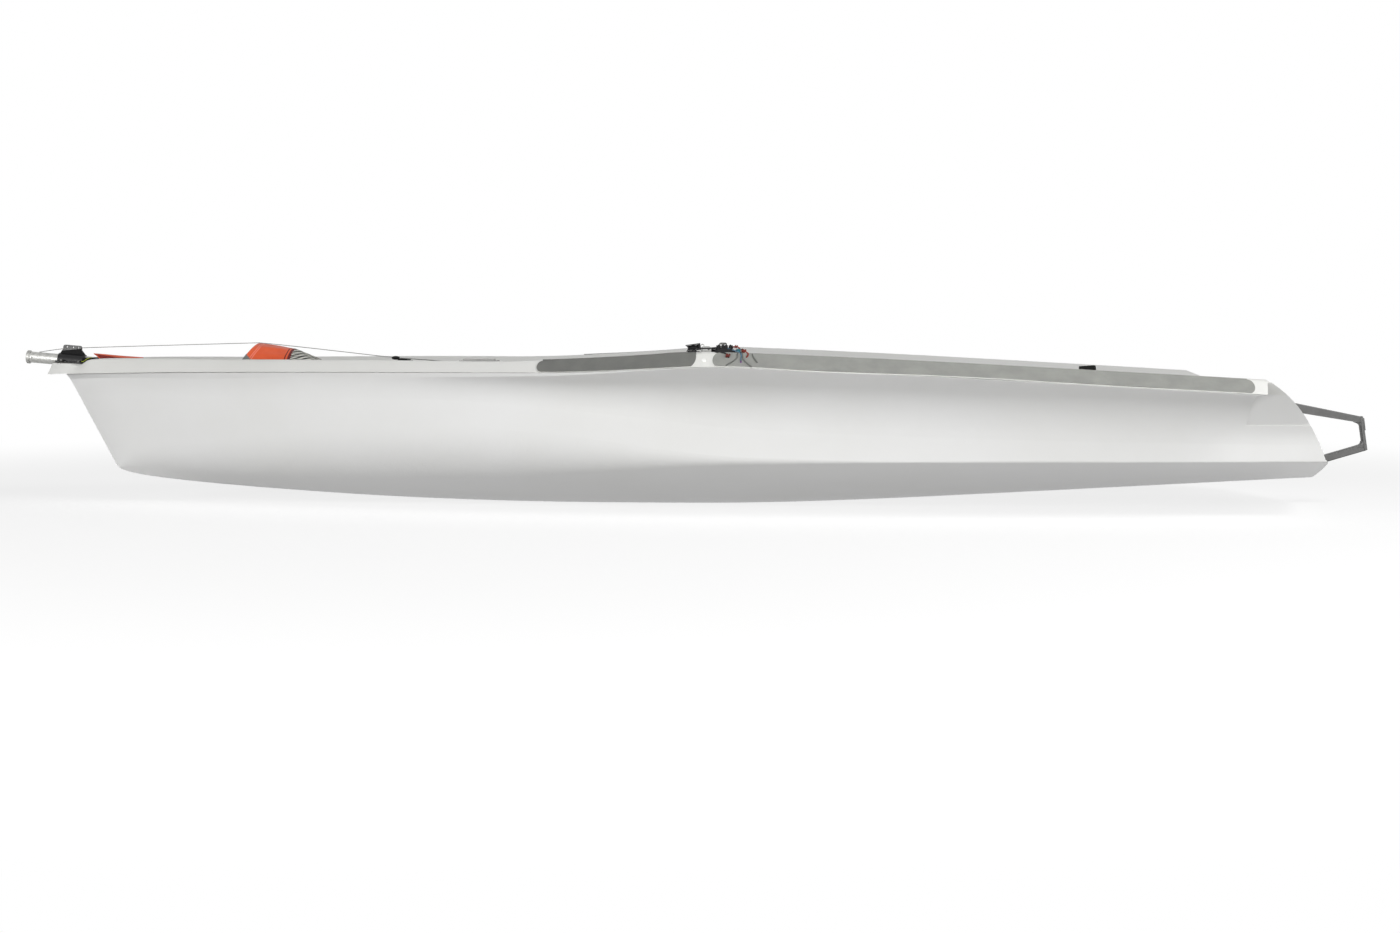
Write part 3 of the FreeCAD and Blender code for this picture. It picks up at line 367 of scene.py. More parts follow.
    # Uncoated gusset and binding cloths, softer than the sock's own; the dark red among them is
    # painted shade on the bow flap
    GREY_CLOTH = Finish("grey_cloth", Pattern.WOVEN, "#858683", "#767774", 0.85, 1.4, 0.1)
    MAROON = Finish("maroon_binding", Pattern.WOVEN, "#6A1F1E", "#571817", 0.8, 1.4, 0.1)
    # Stitching thread, its light salmon partly the thread and partly painted highlight on the
    # stitched ridges
    STITCH = Finish("salmon_stitching_highlight", Pattern.BRAID, "#F59483", "#EE8572", 0.7, 2.5, 0.4)
    # Dark red of painted shade, for the shade under the bow flap's front and on its lower sides
    DARK_RED = Finish("dark_red_painted_shade", Pattern.WOVEN, "#7C2019", "#641812", 0.8, 1.4, 0.08)
    SLEEVE = Finish("strap_sleeve", Pattern.WOVEN, "#151517", "#1E1E20", 0.85, 1.2, 0.08, sheen=0.1)
    WHITE_CAP = Finish("white_cap", Pattern.MOULDED, "#FBFBF9", "#F4F4F1", 0.4, 1.0, 0.02)
    # Powder coat: dark grey with the fine peel of a stoved powder
    GANTRY = Finish("gantry_powder_coat", Pattern.POWDER, "#5C5C5B", "#666665", 0.5, 1.1, 0.04)


# Nodes whose own piece of their slot's metal or plastic is finished differently
NODE_FINISH = {
    "bow_fin": Finishes.FIN,
    "pole_collar": Finishes.COLLAR,
    "mast_step": Finishes.DULL,
    "block_foot_port": Finishes.BLACK_METAL,
    "block_foot_starboard": Finishes.BLACK_METAL,
    "ratchet_sheave_port": Finishes.NYLON,
    "ratchet_sheave_starboard": Finishes.NYLON,
}

SLOT_FINISH = {
    "hull_gelcoat": Finishes.HULL,
    "deck_gelcoat": Finishes.DECK,
    "grip_foam_dark": Finishes.GRIP_DARK,
    "grip_foam_light": Finishes.GRIP_LIGHT,
    "pole_aluminium": Finishes.POLE,
    "bright_aluminium": Finishes.BRIGHT,
    "black_anodised": Finishes.BLACK_METAL,
    "black_nylon": Finishes.NYLON,
    "black_rubber": Finishes.RUBBER,
    "steel": Finishes.STEEL,
    "sock_orange": Finishes.SOCK,
    "sock_mesh": Finishes.MESH,
    "webbing": Finishes.WEBBING,
    "gantry_grey": Finishes.GANTRY,
}


# ---- stage ------------------------------------------------------------------------------------


@dataclass
class Studio:
    """Pale floor, soft lamps and the camera, a long way abeam to port.

    Attributes:
        camera_place: Where the lens stands.
        camera_yaw: Degrees that it stands aft of straight abeam.
        camera_pitch: Degrees that it looks down.
        lens_mm: Focal length on a 36 mm wide frame.
        ambient: Strength of the room's even light.
        floor_bounce: Share of light that the floor gives back to the hull.
        floor_glow: Light that the floor adds of its own to the hull's underside.
        lamps: Name, place, point faced, size and power of each lamp.
    """

    camera_place: tuple[float, float, float] = (-0.402, 7.99, 0.6205)
    camera_yaw: float = 2.6
    camera_pitch: float = 3.54
    lens_mm: float = 58.9
    ambient: float = 0.0
    floor_bounce: str = "#808080"
    floor_glow: float = 0.075
    lamps: tuple[tuple, ...] = (
        ("quarter_lamp", (-4.5, 4.0, 4.5), (-0.6, 0.4, 0.3), (3.0, 2.0), 202.0),
        ("low_quarter_lamp", (-6.35, 2.8, 2.65), (-1.0, 0.6, 0.3), (3.0, 2.0), 87.0),
        ("bow_lamp", (5.5, 5.0, 2.0), (0.8, 0.4, 0.3), (3.0, 2.5), 166.0),
        ("low_front_lamp", (0.0, 6.0, 0.35), (0.0, 0.6, 0.3), (8.0, 0.6), 246.0),
        ("far_lamp", (0.5, -5.0, 4.5), (0.0, 0.0, 0.3), (5.0, 2.0), 30.0),
    )

    def build(self) -> None:
        """Makes everything that isn't the boat."""
        self.add_camera()
        self.light_world()
        self.add_floor()
        for name, place, aim, size, watts in self.lamps:
            self.add_lamp(name, place, aim, size, watts)

    def add_camera(self) -> None:
        """Makes the camera and gives it to the scene."""
        data = bpy.data.cameras.new("camera")
        data.lens = self.lens_mm
        data.sensor_width = 36.0
        camera = bpy.data.objects.new("camera", data)
        camera.location = self.camera_place
        camera.rotation_euler = (
            math.radians(90 - self.camera_pitch), 0.0, math.radians(180 + self.camera_yaw)
        )
        bpy.context.scene.collection.objects.link(camera)
        bpy.context.scene.camera = camera

    def seen_rays(self, tree: bpy.types.NodeTree) -> bpy.types.NodeSocket:
        """One for rays that carry a picture: camera, glossy and transmitted.

        Args:
            tree: Node tree that asks.

        Returns:
            The socket with the answer.
        """
        path = add_node(tree, "LightPath")
        first = add_node(
            tree,
            "Math",
            {"operation": "MAXIMUM"},
            {0: path.outputs["Is Camera Ray"], 1: path.outputs["Is Glossy Ray"]},
        )
        both = add_node(
            tree,
            "Math",
            {"operation": "MAXIMUM"},
            {0: first.outputs[0], 1: path.outputs["Is Transmission Ray"]},
        )
        return both.outputs[0]

    def light_world(self) -> None:
        """Even room light, with white behind everything."""
        world = bpy.data.worlds.new("room")
        bpy.context.scene.world = world
        world.use_nodes = True
        tree = world.node_tree
        tree.nodes.clear()
        seen = self.seen_rays(tree)
        even = add_node(tree, "Background", {"Strength": self.ambient})
        white = add_node(tree, "Background", {"Strength": 1.0})
        for node in (even, white):
            node.inputs["Color"].default_value = (1.0, 1.0, 1.0, 1.0)
        mix = add_node(tree, "MixShader", {}, {0: seen, 1: even.outputs[0], 2: white.outputs[0]})
        add_node(tree, "OutputWorld", {}, {0: mix.outputs[0]})
        bpy.context.scene.view_settings.view_transform = "Standard"

    def add_floor(self) -> None:
        """Floor that shows pale, keeps a shadow and fades to the white behind it."""
        bpy.ops.mesh.primitive_plane_add(size=120.0, location=(0.0, 0.0, -0.0005))
        floor = bpy.context.object
        floor.name = "floor"
        material = bpy.data.materials.new("floor_paint")
        material.use_nodes = True
        tree = material.node_tree
        tree.nodes.clear()
        matt = add_node(tree, "BsdfDiffuse", {"Color": linear(self.floor_bounce)})
        soft = add_node(tree, "Emission", {"Strength": self.floor_glow})
        bounce = add_node(tree, "AddShader", {}, {0: matt.outputs[0], 1: soft.outputs[0]})
        glow = add_node(tree, "Emission", {"Strength": 0.80})
        skin = add_node(tree, "BsdfDiffuse", {"Color": linear("#8C8C8C")})
        near = add_node(tree, "AddShader", {}, {0: glow.outputs[0], 1: skin.outputs[0]})
        far = add_node(tree, "Emission", {"Strength": 1.0})
        place = add_node(tree, "TexCoord").outputs["Object"]
        reach = add_node(tree, "VectorMath", {"operation": "LENGTH"}, {0: place})
        share = add_node(
            tree,
            "MapRange",
            {"From Min": 2.6, "From Max": 5.5, "interpolation_type": "SMOOTHSTEP"},
            {"Value": reach.outputs["Value"]},
        )
        shown = add_node(
            tree, "MixShader", {}, {0: share.outputs[0], 1: near.outputs[0], 2: far.outputs[0]}
        )
        mix = add_node(
            tree,
            "MixShader",
            {},
            {0: self.seen_rays(tree), 1: bounce.outputs[0], 2: shown.outputs[0]},
        )
        add_node(tree, "OutputMaterial", {}, {0: mix.outputs[0]})
        floor.data.materials.append(material)

    def add_lamp(
        self,
        name: str,
        place: tuple[float, float, float],
        aim: tuple[float, float, float],
        size: tuple[float, float],
        watts: float,
    ) -> None:
        """Makes one soft lamp.

        Args:
            name: Its name.
            place: Where it hangs.
            aim: The point that it faces.
            size: Width and height of its face.
            watts: Its power.
        """
        data = bpy.data.lights.new(name, "AREA")
        data.shape = "RECTANGLE"
        data.size, data.size_y = size
        data.energy = watts
        lamp = bpy.data.objects.new(name, data)
        lamp.location = place
        lamp.rotation_euler = (Vector(aim) - Vector(place)).to_track_quat("-Z", "Y").to_euler()
        bpy.context.scene.collection.objects.link(lamp)


# ---- making pieces ----------------------------------------------------------------------------


def deselect() -> None:
    """Leaves object mode with nothing selected."""
    bpy.ops.object.select_all(action="DESELECT")


def pick(piece: bpy.types.Object) -> None:
    """Makes one piece the only selected and active one.

    Args:
        piece: The object to work on.
    """
    deselect()
    piece.select_set(True)
    bpy.context.view_layer.objects.active = piece


def apply_modifier(piece: bpy.types.Object, kind: str, **settings: object) -> None:
    """Adds a modifier, sets it and applies it.

    Args:
        piece: The object that takes it.
        kind: The modifier's type.
        **settings: Its properties.
    """
    pick(piece)
    modifier = piece.modifiers.new(kind.lower(), kind)
    for key, value in settings.items():
        setattr(modifier, key, value)
    bpy.ops.object.modifier_apply(modifier=modifier.name)


def settle(
    piece: bpy.types.Object, name: str, finish: Finish, slot: str, keep_normals: bool = False
) -> bpy.types.Object:
    """Names a finished piece, puts its place into its mesh, dresses it and gives it to the boat.

    Args:
        piece: The finished object.
        name: Its name.
        finish: Its finish.
        slot: The record's material slot. Not used.
        keep_normals: True for a copy of a CAD node, which has its own.

    Returns:
        The same object.
    """
    pick(piece)
    bpy.ops.object.transform_apply(location=True, rotation=True, scale=True)
    piece.name = name
    piece.data.materials.clear()
    piece.data.materials.append(finish.material())
    if piece.type == "MESH" and not keep_normals:
        bpy.ops.object.shade_smooth_by_angle(angle=math.radians(SMOOTH_DEGREES))
    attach(piece, BOAT)
    return piece


def select_faces(piece: bpy.types.Object, test: Callable[[bpy.types.MeshPolygon], bool]) -> None:
    """Enters edit mode with only the faces that pass a test selected.

    Args:
        piece: The mesh object.
        test: Says whether a face is wanted.
    """
    pick(piece)
    bpy.ops.object.mode_set(mode="EDIT")
    bpy.ops.mesh.select_mode(type="FACE")
    bpy.ops.mesh.select_all(action="DESELECT")
    bpy.ops.object.mode_set(mode="OBJECT")
    for face in piece.data.polygons:
        face.select = bool(test(face))
    bpy.ops.object.mode_set(mode="EDIT")


def rounded_block(low: Vector, high: Vector, rounding: float) -> bpy.types.Object:
    """Block between two corners with rounded edges.

    Args:
        low: Lowest corner.
        high: Highest corner.
        rounding: Radius of its edges.

    Returns:
        The block, not yet settled.
    """
    deselect()
    bpy.ops.mesh.primitive_cube_add(size=1.0, location=(low + high) / 2, scale=high - low)
    block = bpy.context.object
    bpy.ops.object.transform_apply(location=True, rotation=True, scale=True)
    apply_modifier(block, "BEVEL", width=rounding, segments=3, limit_method="NONE")
    return block


def round_bar(start: Vector, end: Vector, radius: float, rounding: float) -> bpy.types.Object:
    """Round bar between two points with rounded ends.

    Args:
        start: Middle of one end.
        end: Middle of the other end.
        radius: Its radius.
        rounding: Radius of the end edges.

    Returns:
        The bar, not yet settled.
    """
    along = end - start
    deselect()
    bpy.ops.mesh.primitive_cylinder_add(
        vertices=36,
        radius=radius,
        depth=along.length,
        location=(start + end) / 2,
        rotation=along.to_track_quat("Z", "Y").to_euler(),
    )
    bar = bpy.context.object
    bpy.ops.object.transform_apply(location=True, rotation=True, scale=True)
    apply_modifier(
        bar, "BEVEL", width=rounding, segments=3, limit_method="ANGLE", angle_limit=math.radians(50)
    )
    return bar


def socket_screw(place: Vector, axis: Vector, radius: float) -> bpy.types.Object:
    """Pan-head screw with a socket sunk in its head.

    Args:
        place: Where the head meets the surface.
        axis: The way that the head stands out.
        radius: Of the head.

    Returns:
        The screw, not yet settled.
    """
    deselect()
    bpy.ops.mesh.primitive_cylinder_add(vertices=24, radius=radius, depth=radius * 0.9)
    screw = bpy.context.object
    select_faces(screw, lambda face: face.normal.z > 0.9)
    bpy.ops.mesh.inset(thickness=radius * 0.18, depth=radius * 0.16)
    bpy.ops.mesh.inset(thickness=radius * 0.32, depth=0.0)
    bpy.ops.mesh.extrude_region_move(TRANSFORM_OT_translate={"value": (0, 0, -radius * 0.4)})
    bpy.ops.mesh.select_all(action="SELECT")
    bpy.ops.transform.translate(value=(0, 0, radius * 0.3))
    bpy.ops.object.mode_set(mode="OBJECT")
    screw.rotation_euler = axis.to_track_quat("Z", "Y").to_euler()
    screw.location = place
    bpy.ops.object.transform_apply(location=True, rotation=True, scale=True)
    return screw


def copies(
    piece: bpy.types.Object, shifts: list[Vector], name: str, finish: Finish, slot: str
) -> None:
    """Settles a piece and copies of it, each with its own mesh.

    Args:
        piece: The piece at its first place.
        shifts: How far each copy stands from it.
        name: Name stem. Each piece gets a number after it.
        finish: Their finish.
        slot: The record's material slot.
    """
    for number, shift in enumerate(shifts, start=2):
        pick(piece)
        bpy.ops.object.duplicate(linked=False)
        copy = bpy.context.object
        copy.location = copy.location + shift
        settle(copy, f"{name}_{number}", finish, slot)
    settle(piece, f"{name}_1", finish, slot)


def wire_ring(place: Vector, axis: Vector, radius: float, wire: float) -> bpy.types.Object:
    """Ring of round wire.

    Args:
        place: Its middle.
        axis: The way through it.
        radius: From its middle to the middle of the wire.
        wire: Radius of the wire.

    Returns:
        The ring, not yet settled.
    """
    deselect()
    bpy.ops.mesh.primitive_torus_add(
        location=place,
        rotation=axis.to_track_quat("Z", "Y").to_euler(),
        major_radius=radius,
        minor_radius=wire,
        major_segments=40,
        minor_segments=12,
    )
    return bpy.context.object


def rope(
    name: str, points: list[Vector], diameter: float, finish: Finish, body: str | None = BOAT
) -> bpy.types.Object:
    """Line along control points on one smooth open spline, with closed ends.

    Args:
        name: Its name.
        points: Control points, the first where it starts.
        diameter: Of the line.
        finish: Its finish.
        body: The body that carries it, or none where it is still to be bound to two.

    Returns:
        The curve.
    """
    data = bpy.data.curves.new(name, "CURVE")
    data.dimensions = "3D"
    data.bevel_depth = diameter / 2
    data.bevel_resolution = 5
    data.use_fill_caps = True
    data.resolution_u = 14
    spline = data.splines.new("NURBS")
    spline.points.add(len(points) - 1)
    for target, point in zip(spline.points, points):
        target.co = (*point, 1.0)
    spline.order_u = 3
    spline.use_endpoint_u = True
    line = bpy.data.objects.new(name, data)
    bpy.context.scene.collection.objects.link(line)
    data.materials.append(finish.material())
    if body:
        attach(line, body)
    return line


def declare_line(
    line: bpy.types.Object, start: Vector, diameter: float, far_end: str, lay: str, **more: object
) -> None:
    """Takes a limp line's description and does nothing with it.

    Args:
        line: The curve. Not used.
        start: Its first control point.
        diameter: Of the line. Not used.
        far_end: What its far end is. Not used.
        lay: How it lies. Not used.
    """
    tuple(start)


def hit(nodes: tuple[str, ...], start: Vector, way: Vector) -> Vector:
    """First place where a straight line meets any of some CAD nodes.

    A line that slips through the crack between two triangles is tried again a hair aside.

    Args:
        nodes: The nodes' names.
        start: Where the line starts.
        way: Its direction.

    Returns:
        The nearest place met.
    """
    found = []
    for aside in (0.0, 0.0004, -0.0006):
        for node in nodes:
            shifted = start + Vector((aside, aside, aside))
            struck, place, _, _ = frame["nodes"][node].ray_cast(shifted, way)
            if struck:
                found.append(place)
        if found:
            break
    if not found:
        raise LookupError(f"nothing of {nodes} ahead of {tuple(start)}")
    return min(found, key=lambda place: (place - start).length)


def deck_top(x: float, y: float) -> float:
    """Height of the deck at a place.

    Args:
        x: Forward from the origin.
        y: To port.

    Returns:
        The height.
    """
    return hit(("deck",), Vector((x, y, ABOVE)), DOWN).z


GUNWALE = ("deck", "grip_pad_forward_port", "grip_pad_aft_port")


def gunwale_face(x: float, z: float, off: float) -> Vector:
    """Place on the port gunwale's outer face, or a little off it.

    A height above the ridge or below the lip gives the nearest one that is on the face.

    Args:
        x: Forward from the origin.
        z: Height.
        off: How far to port of the face.

    Returns:
        The place.
    """
    for step in range(12):
        height = z + (0.515 - z) * step / 12
        try:
            place = hit(GUNWALE, Vector((x, ABEAM, height)), TO_STARBOARD)
        except LookupError:
            continue
        return place + Vector((0, off, 0))
    raise LookupError(f"no gunwale at {x}, {z}")


def cloth(
    name: str,
    cells: tuple[int, int],
    shape: Callable[[float, float], Vector],
    thickness: float,
    finish: Finish,
    slot: str,
) -> bpy.types.Object:
    """Sheet that follows a function of two shares, with a thickness.

    Args:
        name: Its name.
        cells: Count of cells across and along.
        shape: Gives the place for a share across and a share along, each from nought to one.
        thickness: Of the cloth.
        finish: Its finish.
        slot: The record's material slot.

    Returns:
        The settled sheet.
    """
    deselect()
    bpy.ops.mesh.primitive_grid_add(x_subdivisions=cells[0], y_subdivisions=cells[1], size=1.0)
    sheet = bpy.context.object
    sheet.name = name
    for vertex in sheet.data.vertices:
        vertex.co = shape(vertex.co.x + 0.5, vertex.co.y + 0.5)
    bpy.ops.object.mode_set(mode="EDIT")
    bpy.ops.mesh.select_all(action="SELECT")
    bpy.ops.mesh.remove_doubles(threshold=0.00005)
    bpy.ops.mesh.normals_make_consistent(inside=False)
    bpy.ops.object.mode_set(mode="OBJECT")
    apply_modifier(sheet, "SOLIDIFY", thickness=thickness, offset=0.0)
    return settle(sheet, name, finish, slot)


def prism(
    name: str, outline: tuple[tuple[float, float], ...], half: float, rounding: float
) -> bpy.types.Object:
    """Solid with one outline seen from abeam, even on both sides of the middle.

    Args:
        name: Its name.
        outline: Forward place and height of each corner.
        half: Half of its width across the boat.
        rounding: Radius of its edges.

    Returns:
        The solid, not yet settled.
    """
    deselect()
    bpy.ops.mesh.primitive_circle_add(vertices=len(outline), fill_type="NGON")
    solid = bpy.context.object
    solid.name = name
    for vertex, (x, z) in zip(solid.data.vertices, outline):
        vertex.co = (x, -half, z)
    bpy.ops.object.mode_set(mode="EDIT")
    bpy.ops.mesh.select_all(action="SELECT")
    bpy.ops.mesh.extrude_region_move(TRANSFORM_OT_translate={"value": (0, 2 * half, 0)})
    bpy.ops.mesh.select_all(action="SELECT")
    bpy.ops.mesh.normals_make_consistent(inside=False)
    bpy.ops.object.mode_set(mode="OBJECT")
    solid.location = (0, 0, 0)
    apply_modifier(solid, "BEVEL", width=rounding, segments=2, limit_method="ANGLE")
    return solid


def node_copy(node: str) -> bpy.types.Object:
    """Copy of a CAD node with its own mesh, merged, that keeps the node's normals.

    Args:
        node: The node's name.

    Returns:
        The copy, not yet settled.
    """
    pick(frame["nodes"][node])
    bpy.ops.object.duplicate(linked=False)
    copy = bpy.context.object
    bpy.ops.object.mode_set(mode="EDIT")
    bpy.ops.mesh.select_all(action="SELECT")
    bpy.ops.mesh.remove_doubles(threshold=0.00002, use_sharp_edge_from_normals=True)
    bpy.ops.object.mode_set(mode="OBJECT")
    return copy


# ---- lines and tails --------------------------------------------------------------------------


@dataclass
class ShoulderLines:
    """Tails of the control lines that hang over the port gunwale at the shoulder.

    Attributes:
        red: Diameter of the red sheet's tail.
        blue: Diameter of the blue line.
        black: Diameter of the black line.
        shock: Diameter of the shock cords.
        clear: Gap between a tail and the foam that it hangs against.
    """

    red: float = 0.0042
    blue: float = 0.0032
    black: float = 0.0045
    shock: float = 0.0042
    clear: float = 0.0012

    def build(self) -> None:
        """Makes the three tails, what is tied into them and the taut cords beside them."""
        self.red_tail()
        self.blue_tail()
        self.black_tail()
        self.taut_cords()

    def over(self, x: float, z: float, diameter: float) -> Vector:
        """Place of a hanging tail's middle, against the gunwale's outer face.

        Args:
            x: Forward from the origin.
            z: Height.
            diameter: Of the tail.

        Returns:
            The place.
        """
        return gunwale_face(x, z, diameter / 2 + self.clear)

    def top(self, x: float, y: float, diameter: float, lift: float = 0.0) -> Vector:
        """Place of a lying tail's middle, on the ridge of the gunwale.

        Args:
            x: Forward from the origin.
            y: To port.
            diameter: Of the tail.
            lift: How much higher than lying on the deck.

        Returns:
            The place.
        """
        return Vector((x, y, deck_top(x, y) + diameter / 2 + self.clear + lift))

    def red_tail(self) -> None:
        """Sheet's tail: out of the cleat's jaws, through its knots and over the side."""
        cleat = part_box("cleat_plate_port")
        y = (cleat[0][1] + cleat[1][1]) / 2
        start = Vector((cleat[0][0] + 0.013, y, cleat[1][2] - 0.008))
        route = [
            start,
            start + Vector((-0.008, 0.001, 0.001)),
            start + Vector((-0.016, 0.004, 0.0025)),
            start + Vector((-0.024, 0.008, -0.001)),
            self.top(-0.2020, 0.818, self.red, 0.0065),
            self.top(-0.2120, 0.824, self.red, 0.0050),
            self.top(-0.2195, 0.829, self.red, 0.0035),
            self.over(-0.2262, 0.5345, self.red),
            self.over(-0.2282, 0.5290, self.red),
            self.over(-0.2262, 0.5235, self.red),
            self.over(-0.2225, 0.5195, self.red),
        ]
        tail = rope("red_sheet_tail", route, self.red, Finishes.RED_LINE)
        knot = self.knot(
            start + Vector((-0.0155, 0.004, 0.0018)), 0.0048, "red_stopper", Finishes.KNOT_RED
        )
        last = self.knot(
            self.top(-0.2145, 0.826, self.red, 0.0040), 0.0062, "red_bend", Finishes.KNOT_RED
        )
        middle = self.top(-0.2085, 0.823, self.red, 0.0055)
        ring = wire_ring(middle, Vector((1, 0.2, 0.1)), 0.0036, 0.0021)
        settle(ring, "black_whipping", Finishes.BLACK_LINE, "webbing")
        teal = self.knot(
            self.top(-0.1985, 0.817, self.red, 0.0045), 0.0056, "teal_bend", Finishes.TEAL_LINE
        )
        pieces = [knot, last, ring, teal]
        declare_line(tail, start, self.red, "knot", "hanging", with_pieces=pieces)

    def blue_tail(self) -> None:
        """Thin blue line from the cleat to the side, with a purple whipped end."""
        route = [
            Vector((-0.1625, 0.818, deck_top(-0.1625, 0.818) + 0.0120)),
            self.top(-0.176, 0.822, self.blue, 0.0065),
            self.top(-0.190, 0.827, self.blue, 0.0040),
            self.top(-0.1990, 0.831, self.blue, 0.0030),
            self.over(-0.2030, 0.5330, self.blue),
            self.over(-0.2065, 0.5260, self.blue),
            self.over(-0.2065, 0.5190, self.blue),
            self.over(-0.2040, 0.5120, self.blue),
            self.over(-0.2055, 0.5065, self.blue),
        ]
        tail = rope("blue_line_tail", route, self.blue, Finishes.BLUE_LINE)
        last = route[-1]
        first, final = last + Vector((0, 0, 0.003)), last + Vector((0, 0.001, -0.006))
        end = round_bar(first, final, 0.0027, 0.001)
        settle(end, "blue_tail_whipping", Finishes.PURPLE_LINE, "webbing")
        declare_line(tail, route[0], self.blue, "knot", "hanging", with_pieces=[end])

    def black_tail(self) -> None:
        """Short black line over the ridge that ends in a whipped red knot."""
        route = [
            Vector((-0.130, 0.818, deck_top(-0.130, 0.818) + 0.008)),
            self.top(-0.1365, 0.828, self.black, 0.003),
            self.top(-0.1440, 0.833, self.black, 0.0015),
            self.over(-0.1520, 0.5335, self.black),
            self.over(-0.1590, 0.5300, self.black),
            self.over(-0.1650, 0.5245, self.black),
            self.over(-0.1675, 0.5190, self.black),
        ]
        tail = rope("black_line_tail", route, self.black, Finishes.BLACK_LINE)
        knot = self.knot(
            route[-2] + Vector((0, 0.002, 0.0)), 0.0066, "black_tail", Finishes.KNOT_RED
        )
        declare_line(tail, route[0], self.black, "knot", "hanging", with_pieces=[knot])

    def taut_cords(self) -> None:
        """Taut shock cords over the foam, and the taut line between block and cleat."""
        cords = (
            ((-0.1945, 0.5300), (-0.1952, 0.5180), (-0.1800, 0.5060), (-0.1600, 0.4950)),
            ((-0.2089, 0.5300), (-0.2105, 0.5140), (-0.2230, 0.5020), (-0.2380, 0.4900)),
            ((-0.2405, 0.5260), (-0.2475, 0.5130), (-0.2564, 0.5030)),
        )
        for number, route in enumerate(cords, start=1):
            points = [self.over(x, z, self.shock * 0.4) for x, z in route]
            points.insert(0, points[0] + Vector((0.0, -0.010, 0.004)))
            rope(f"shock_cord_{number}", points, self.shock, Finishes.SHOCK_CORD)
        for side, name in SIDES:
            block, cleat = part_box(f"ratchet_block_{name}"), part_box(f"cleat_plate_{name}")
            y = (cleat[0][1] + cleat[1][1]) / 2
            route = [
                Vector((block[0][0] + 0.012, y, block[0][2] + 0.012)),
                Vector((block[0][0] - 0.014, y + side * 0.002, block[0][2] + 0.0075)),
                Vector((cleat[1][0] - 0.012, y, cleat[1][2] - 0.008)),
            ]
            rope(f"taut_sheet_{name}", route, 0.0040, Finishes.BLACK_LINE)

    def knot(self, place: Vector, radius: float, name: str, finish: Finish) -> bpy.types.Object:
        """Overhand stopper: three turns pulled down on themselves.

        Args:
            place: Its middle.
            radius: Of one turn.
            name: Name of its mesh, and stem of its own.
            finish: Its finish.

        Returns:
            The settled knot.
        """
        turns = []
        for lean, shift in ((24, -0.5), (-30, 0.1), (15, 0.6)):
            axis = Vector((1.0, 0.0, math.tan(math.radians(lean))))
            middle = place + Vector((shift * radius, 0, 0.1 * shift * radius))
            turns.append(wire_ring(middle, axis, radius * 0.6, radius * 0.46))
        deselect()
        for turn in turns:
            turn.select_set(True)
        bpy.context.view_layer.objects.active = turns[0]
        bpy.ops.object.join()
        knot = bpy.context.object
        knot.data.name = name
        apply_modifier(knot, "REMESH", mode="VOXEL", voxel_size=radius * 0.11)
        apply_modifier(knot, "SMOOTH", factor=0.5, iterations=2)
        return settle(knot, f"{name}_knot", finish, "webbing")


@dataclass
class BowLines:
    """Tack line along the stowed pole, the sock's line aft and the pole's lashing.

    Attributes:
        tack: Diameter of the tack line.
        sock: Diameter of the sock's line.
        lashing: Diameter of the lashing.
    """

    tack: float = 0.0023
    sock: float = 0.0025
    lashing: float = 0.0028

    def build(self) -> None:
        """Makes the lines."""
        self.lash()
        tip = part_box("pole_collar")
        slope = math.tan(math.radians(POLE_DEGREES))
        back = 0.036
        top = tip[1][2] - 0.0045 - back * slope
        aft = Vector(((tip[0][0] + tip[1][0]) / 2 - back, 0.0, top + 0.0006))
        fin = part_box("bow_fin")
        beside = Vector(((fin[0][0] + fin[1][0]) / 2, 0.0062, fin[1][2] - 0.011))
        over = ChuteSock.front.place(0.5, 0.0068)
        route = [aft, aft.lerp(beside, 0.5) + Vector((0, 0, 0.0016)), beside, over]
        tack = rope("tack_line", route, self.tack, Finishes.GREY_LINE, None)
        pick(tack)
        bpy.ops.object.convert(target="MESH")
        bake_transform(tack)
        self.sock_line(over)

    def sock_line(self, over: Vector) -> None:
        """Line from the top of the sock back along the deck, with a bobble on it at the jib car.

        Args:
            over: Where it passes over the hoop.
        """
        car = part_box("jib_car")
        bobble = Vector((car[1][0] + 0.012, 0.004, car[1][2] + 0.0022))
        last = car[0][0] - 0.040
        route = [
            over + Vector((0.0, 0.0, -0.0006)),
            over + Vector((-0.030, 0.0, -0.0022)),
            over.lerp(bobble, 0.55) + Vector((0, 0, 0.0012)),
            bobble,
            Vector((last, 0.004, deck_top(last, 0.004) + 0.012)),
            Vector((last - 0.12, 0.004, deck_top(last - 0.12, 0.004) + 0.002)),
        ]
        rope("sock_line", route, self.sock, Finishes.GREY_LINE)
        deselect()
        bpy.ops.mesh.primitive_uv_sphere_add(
            segments=36, ring_count=18, radius=1.0, location=bobble, scale=(0.0145, 0.0068, 0.0068)
        )
        ball = bpy.context.object
        select_faces(ball, lambda face: abs(face.center.x) > 0.86)
        bpy.ops.transform.resize(value=(1.0, 0.7, 0.7))
        bpy.ops.object.mode_set(mode="OBJECT")
        settle(ball, "sock_line_bobble", Finishes.NYLON, "black_nylon")

    def lash(self) -> None:
        """Yellow-green lashing that dips between the saddle and the flap."""
        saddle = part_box("bow_saddle")
        x = saddle[0][0]
        floor = deck_top(x, 0.036)
        route = [
            Vector((x + 0.006, 0.034, floor + 0.0100)),
            Vector((x + 0.0005, 0.0368, floor + 0.0082)),
            Vector((x - 0.0055, 0.0355, floor + 0.0118)),
            Vector((x - 0.012, 0.030, floor + 0.0180)),
            Vector((x - 0.018, 0.022, floor + 0.0222)),
            Vector((x - 0.024, 0.012, floor + 0.0222)),
        ]
        line = rope("pole_lashing", route, self.lashing, Finishes.LIME_LINE)
        declare_line(line, route[0], self.lashing, "object", "loose")


# ---- sock, flap and straps --------------------------------------------------------------------


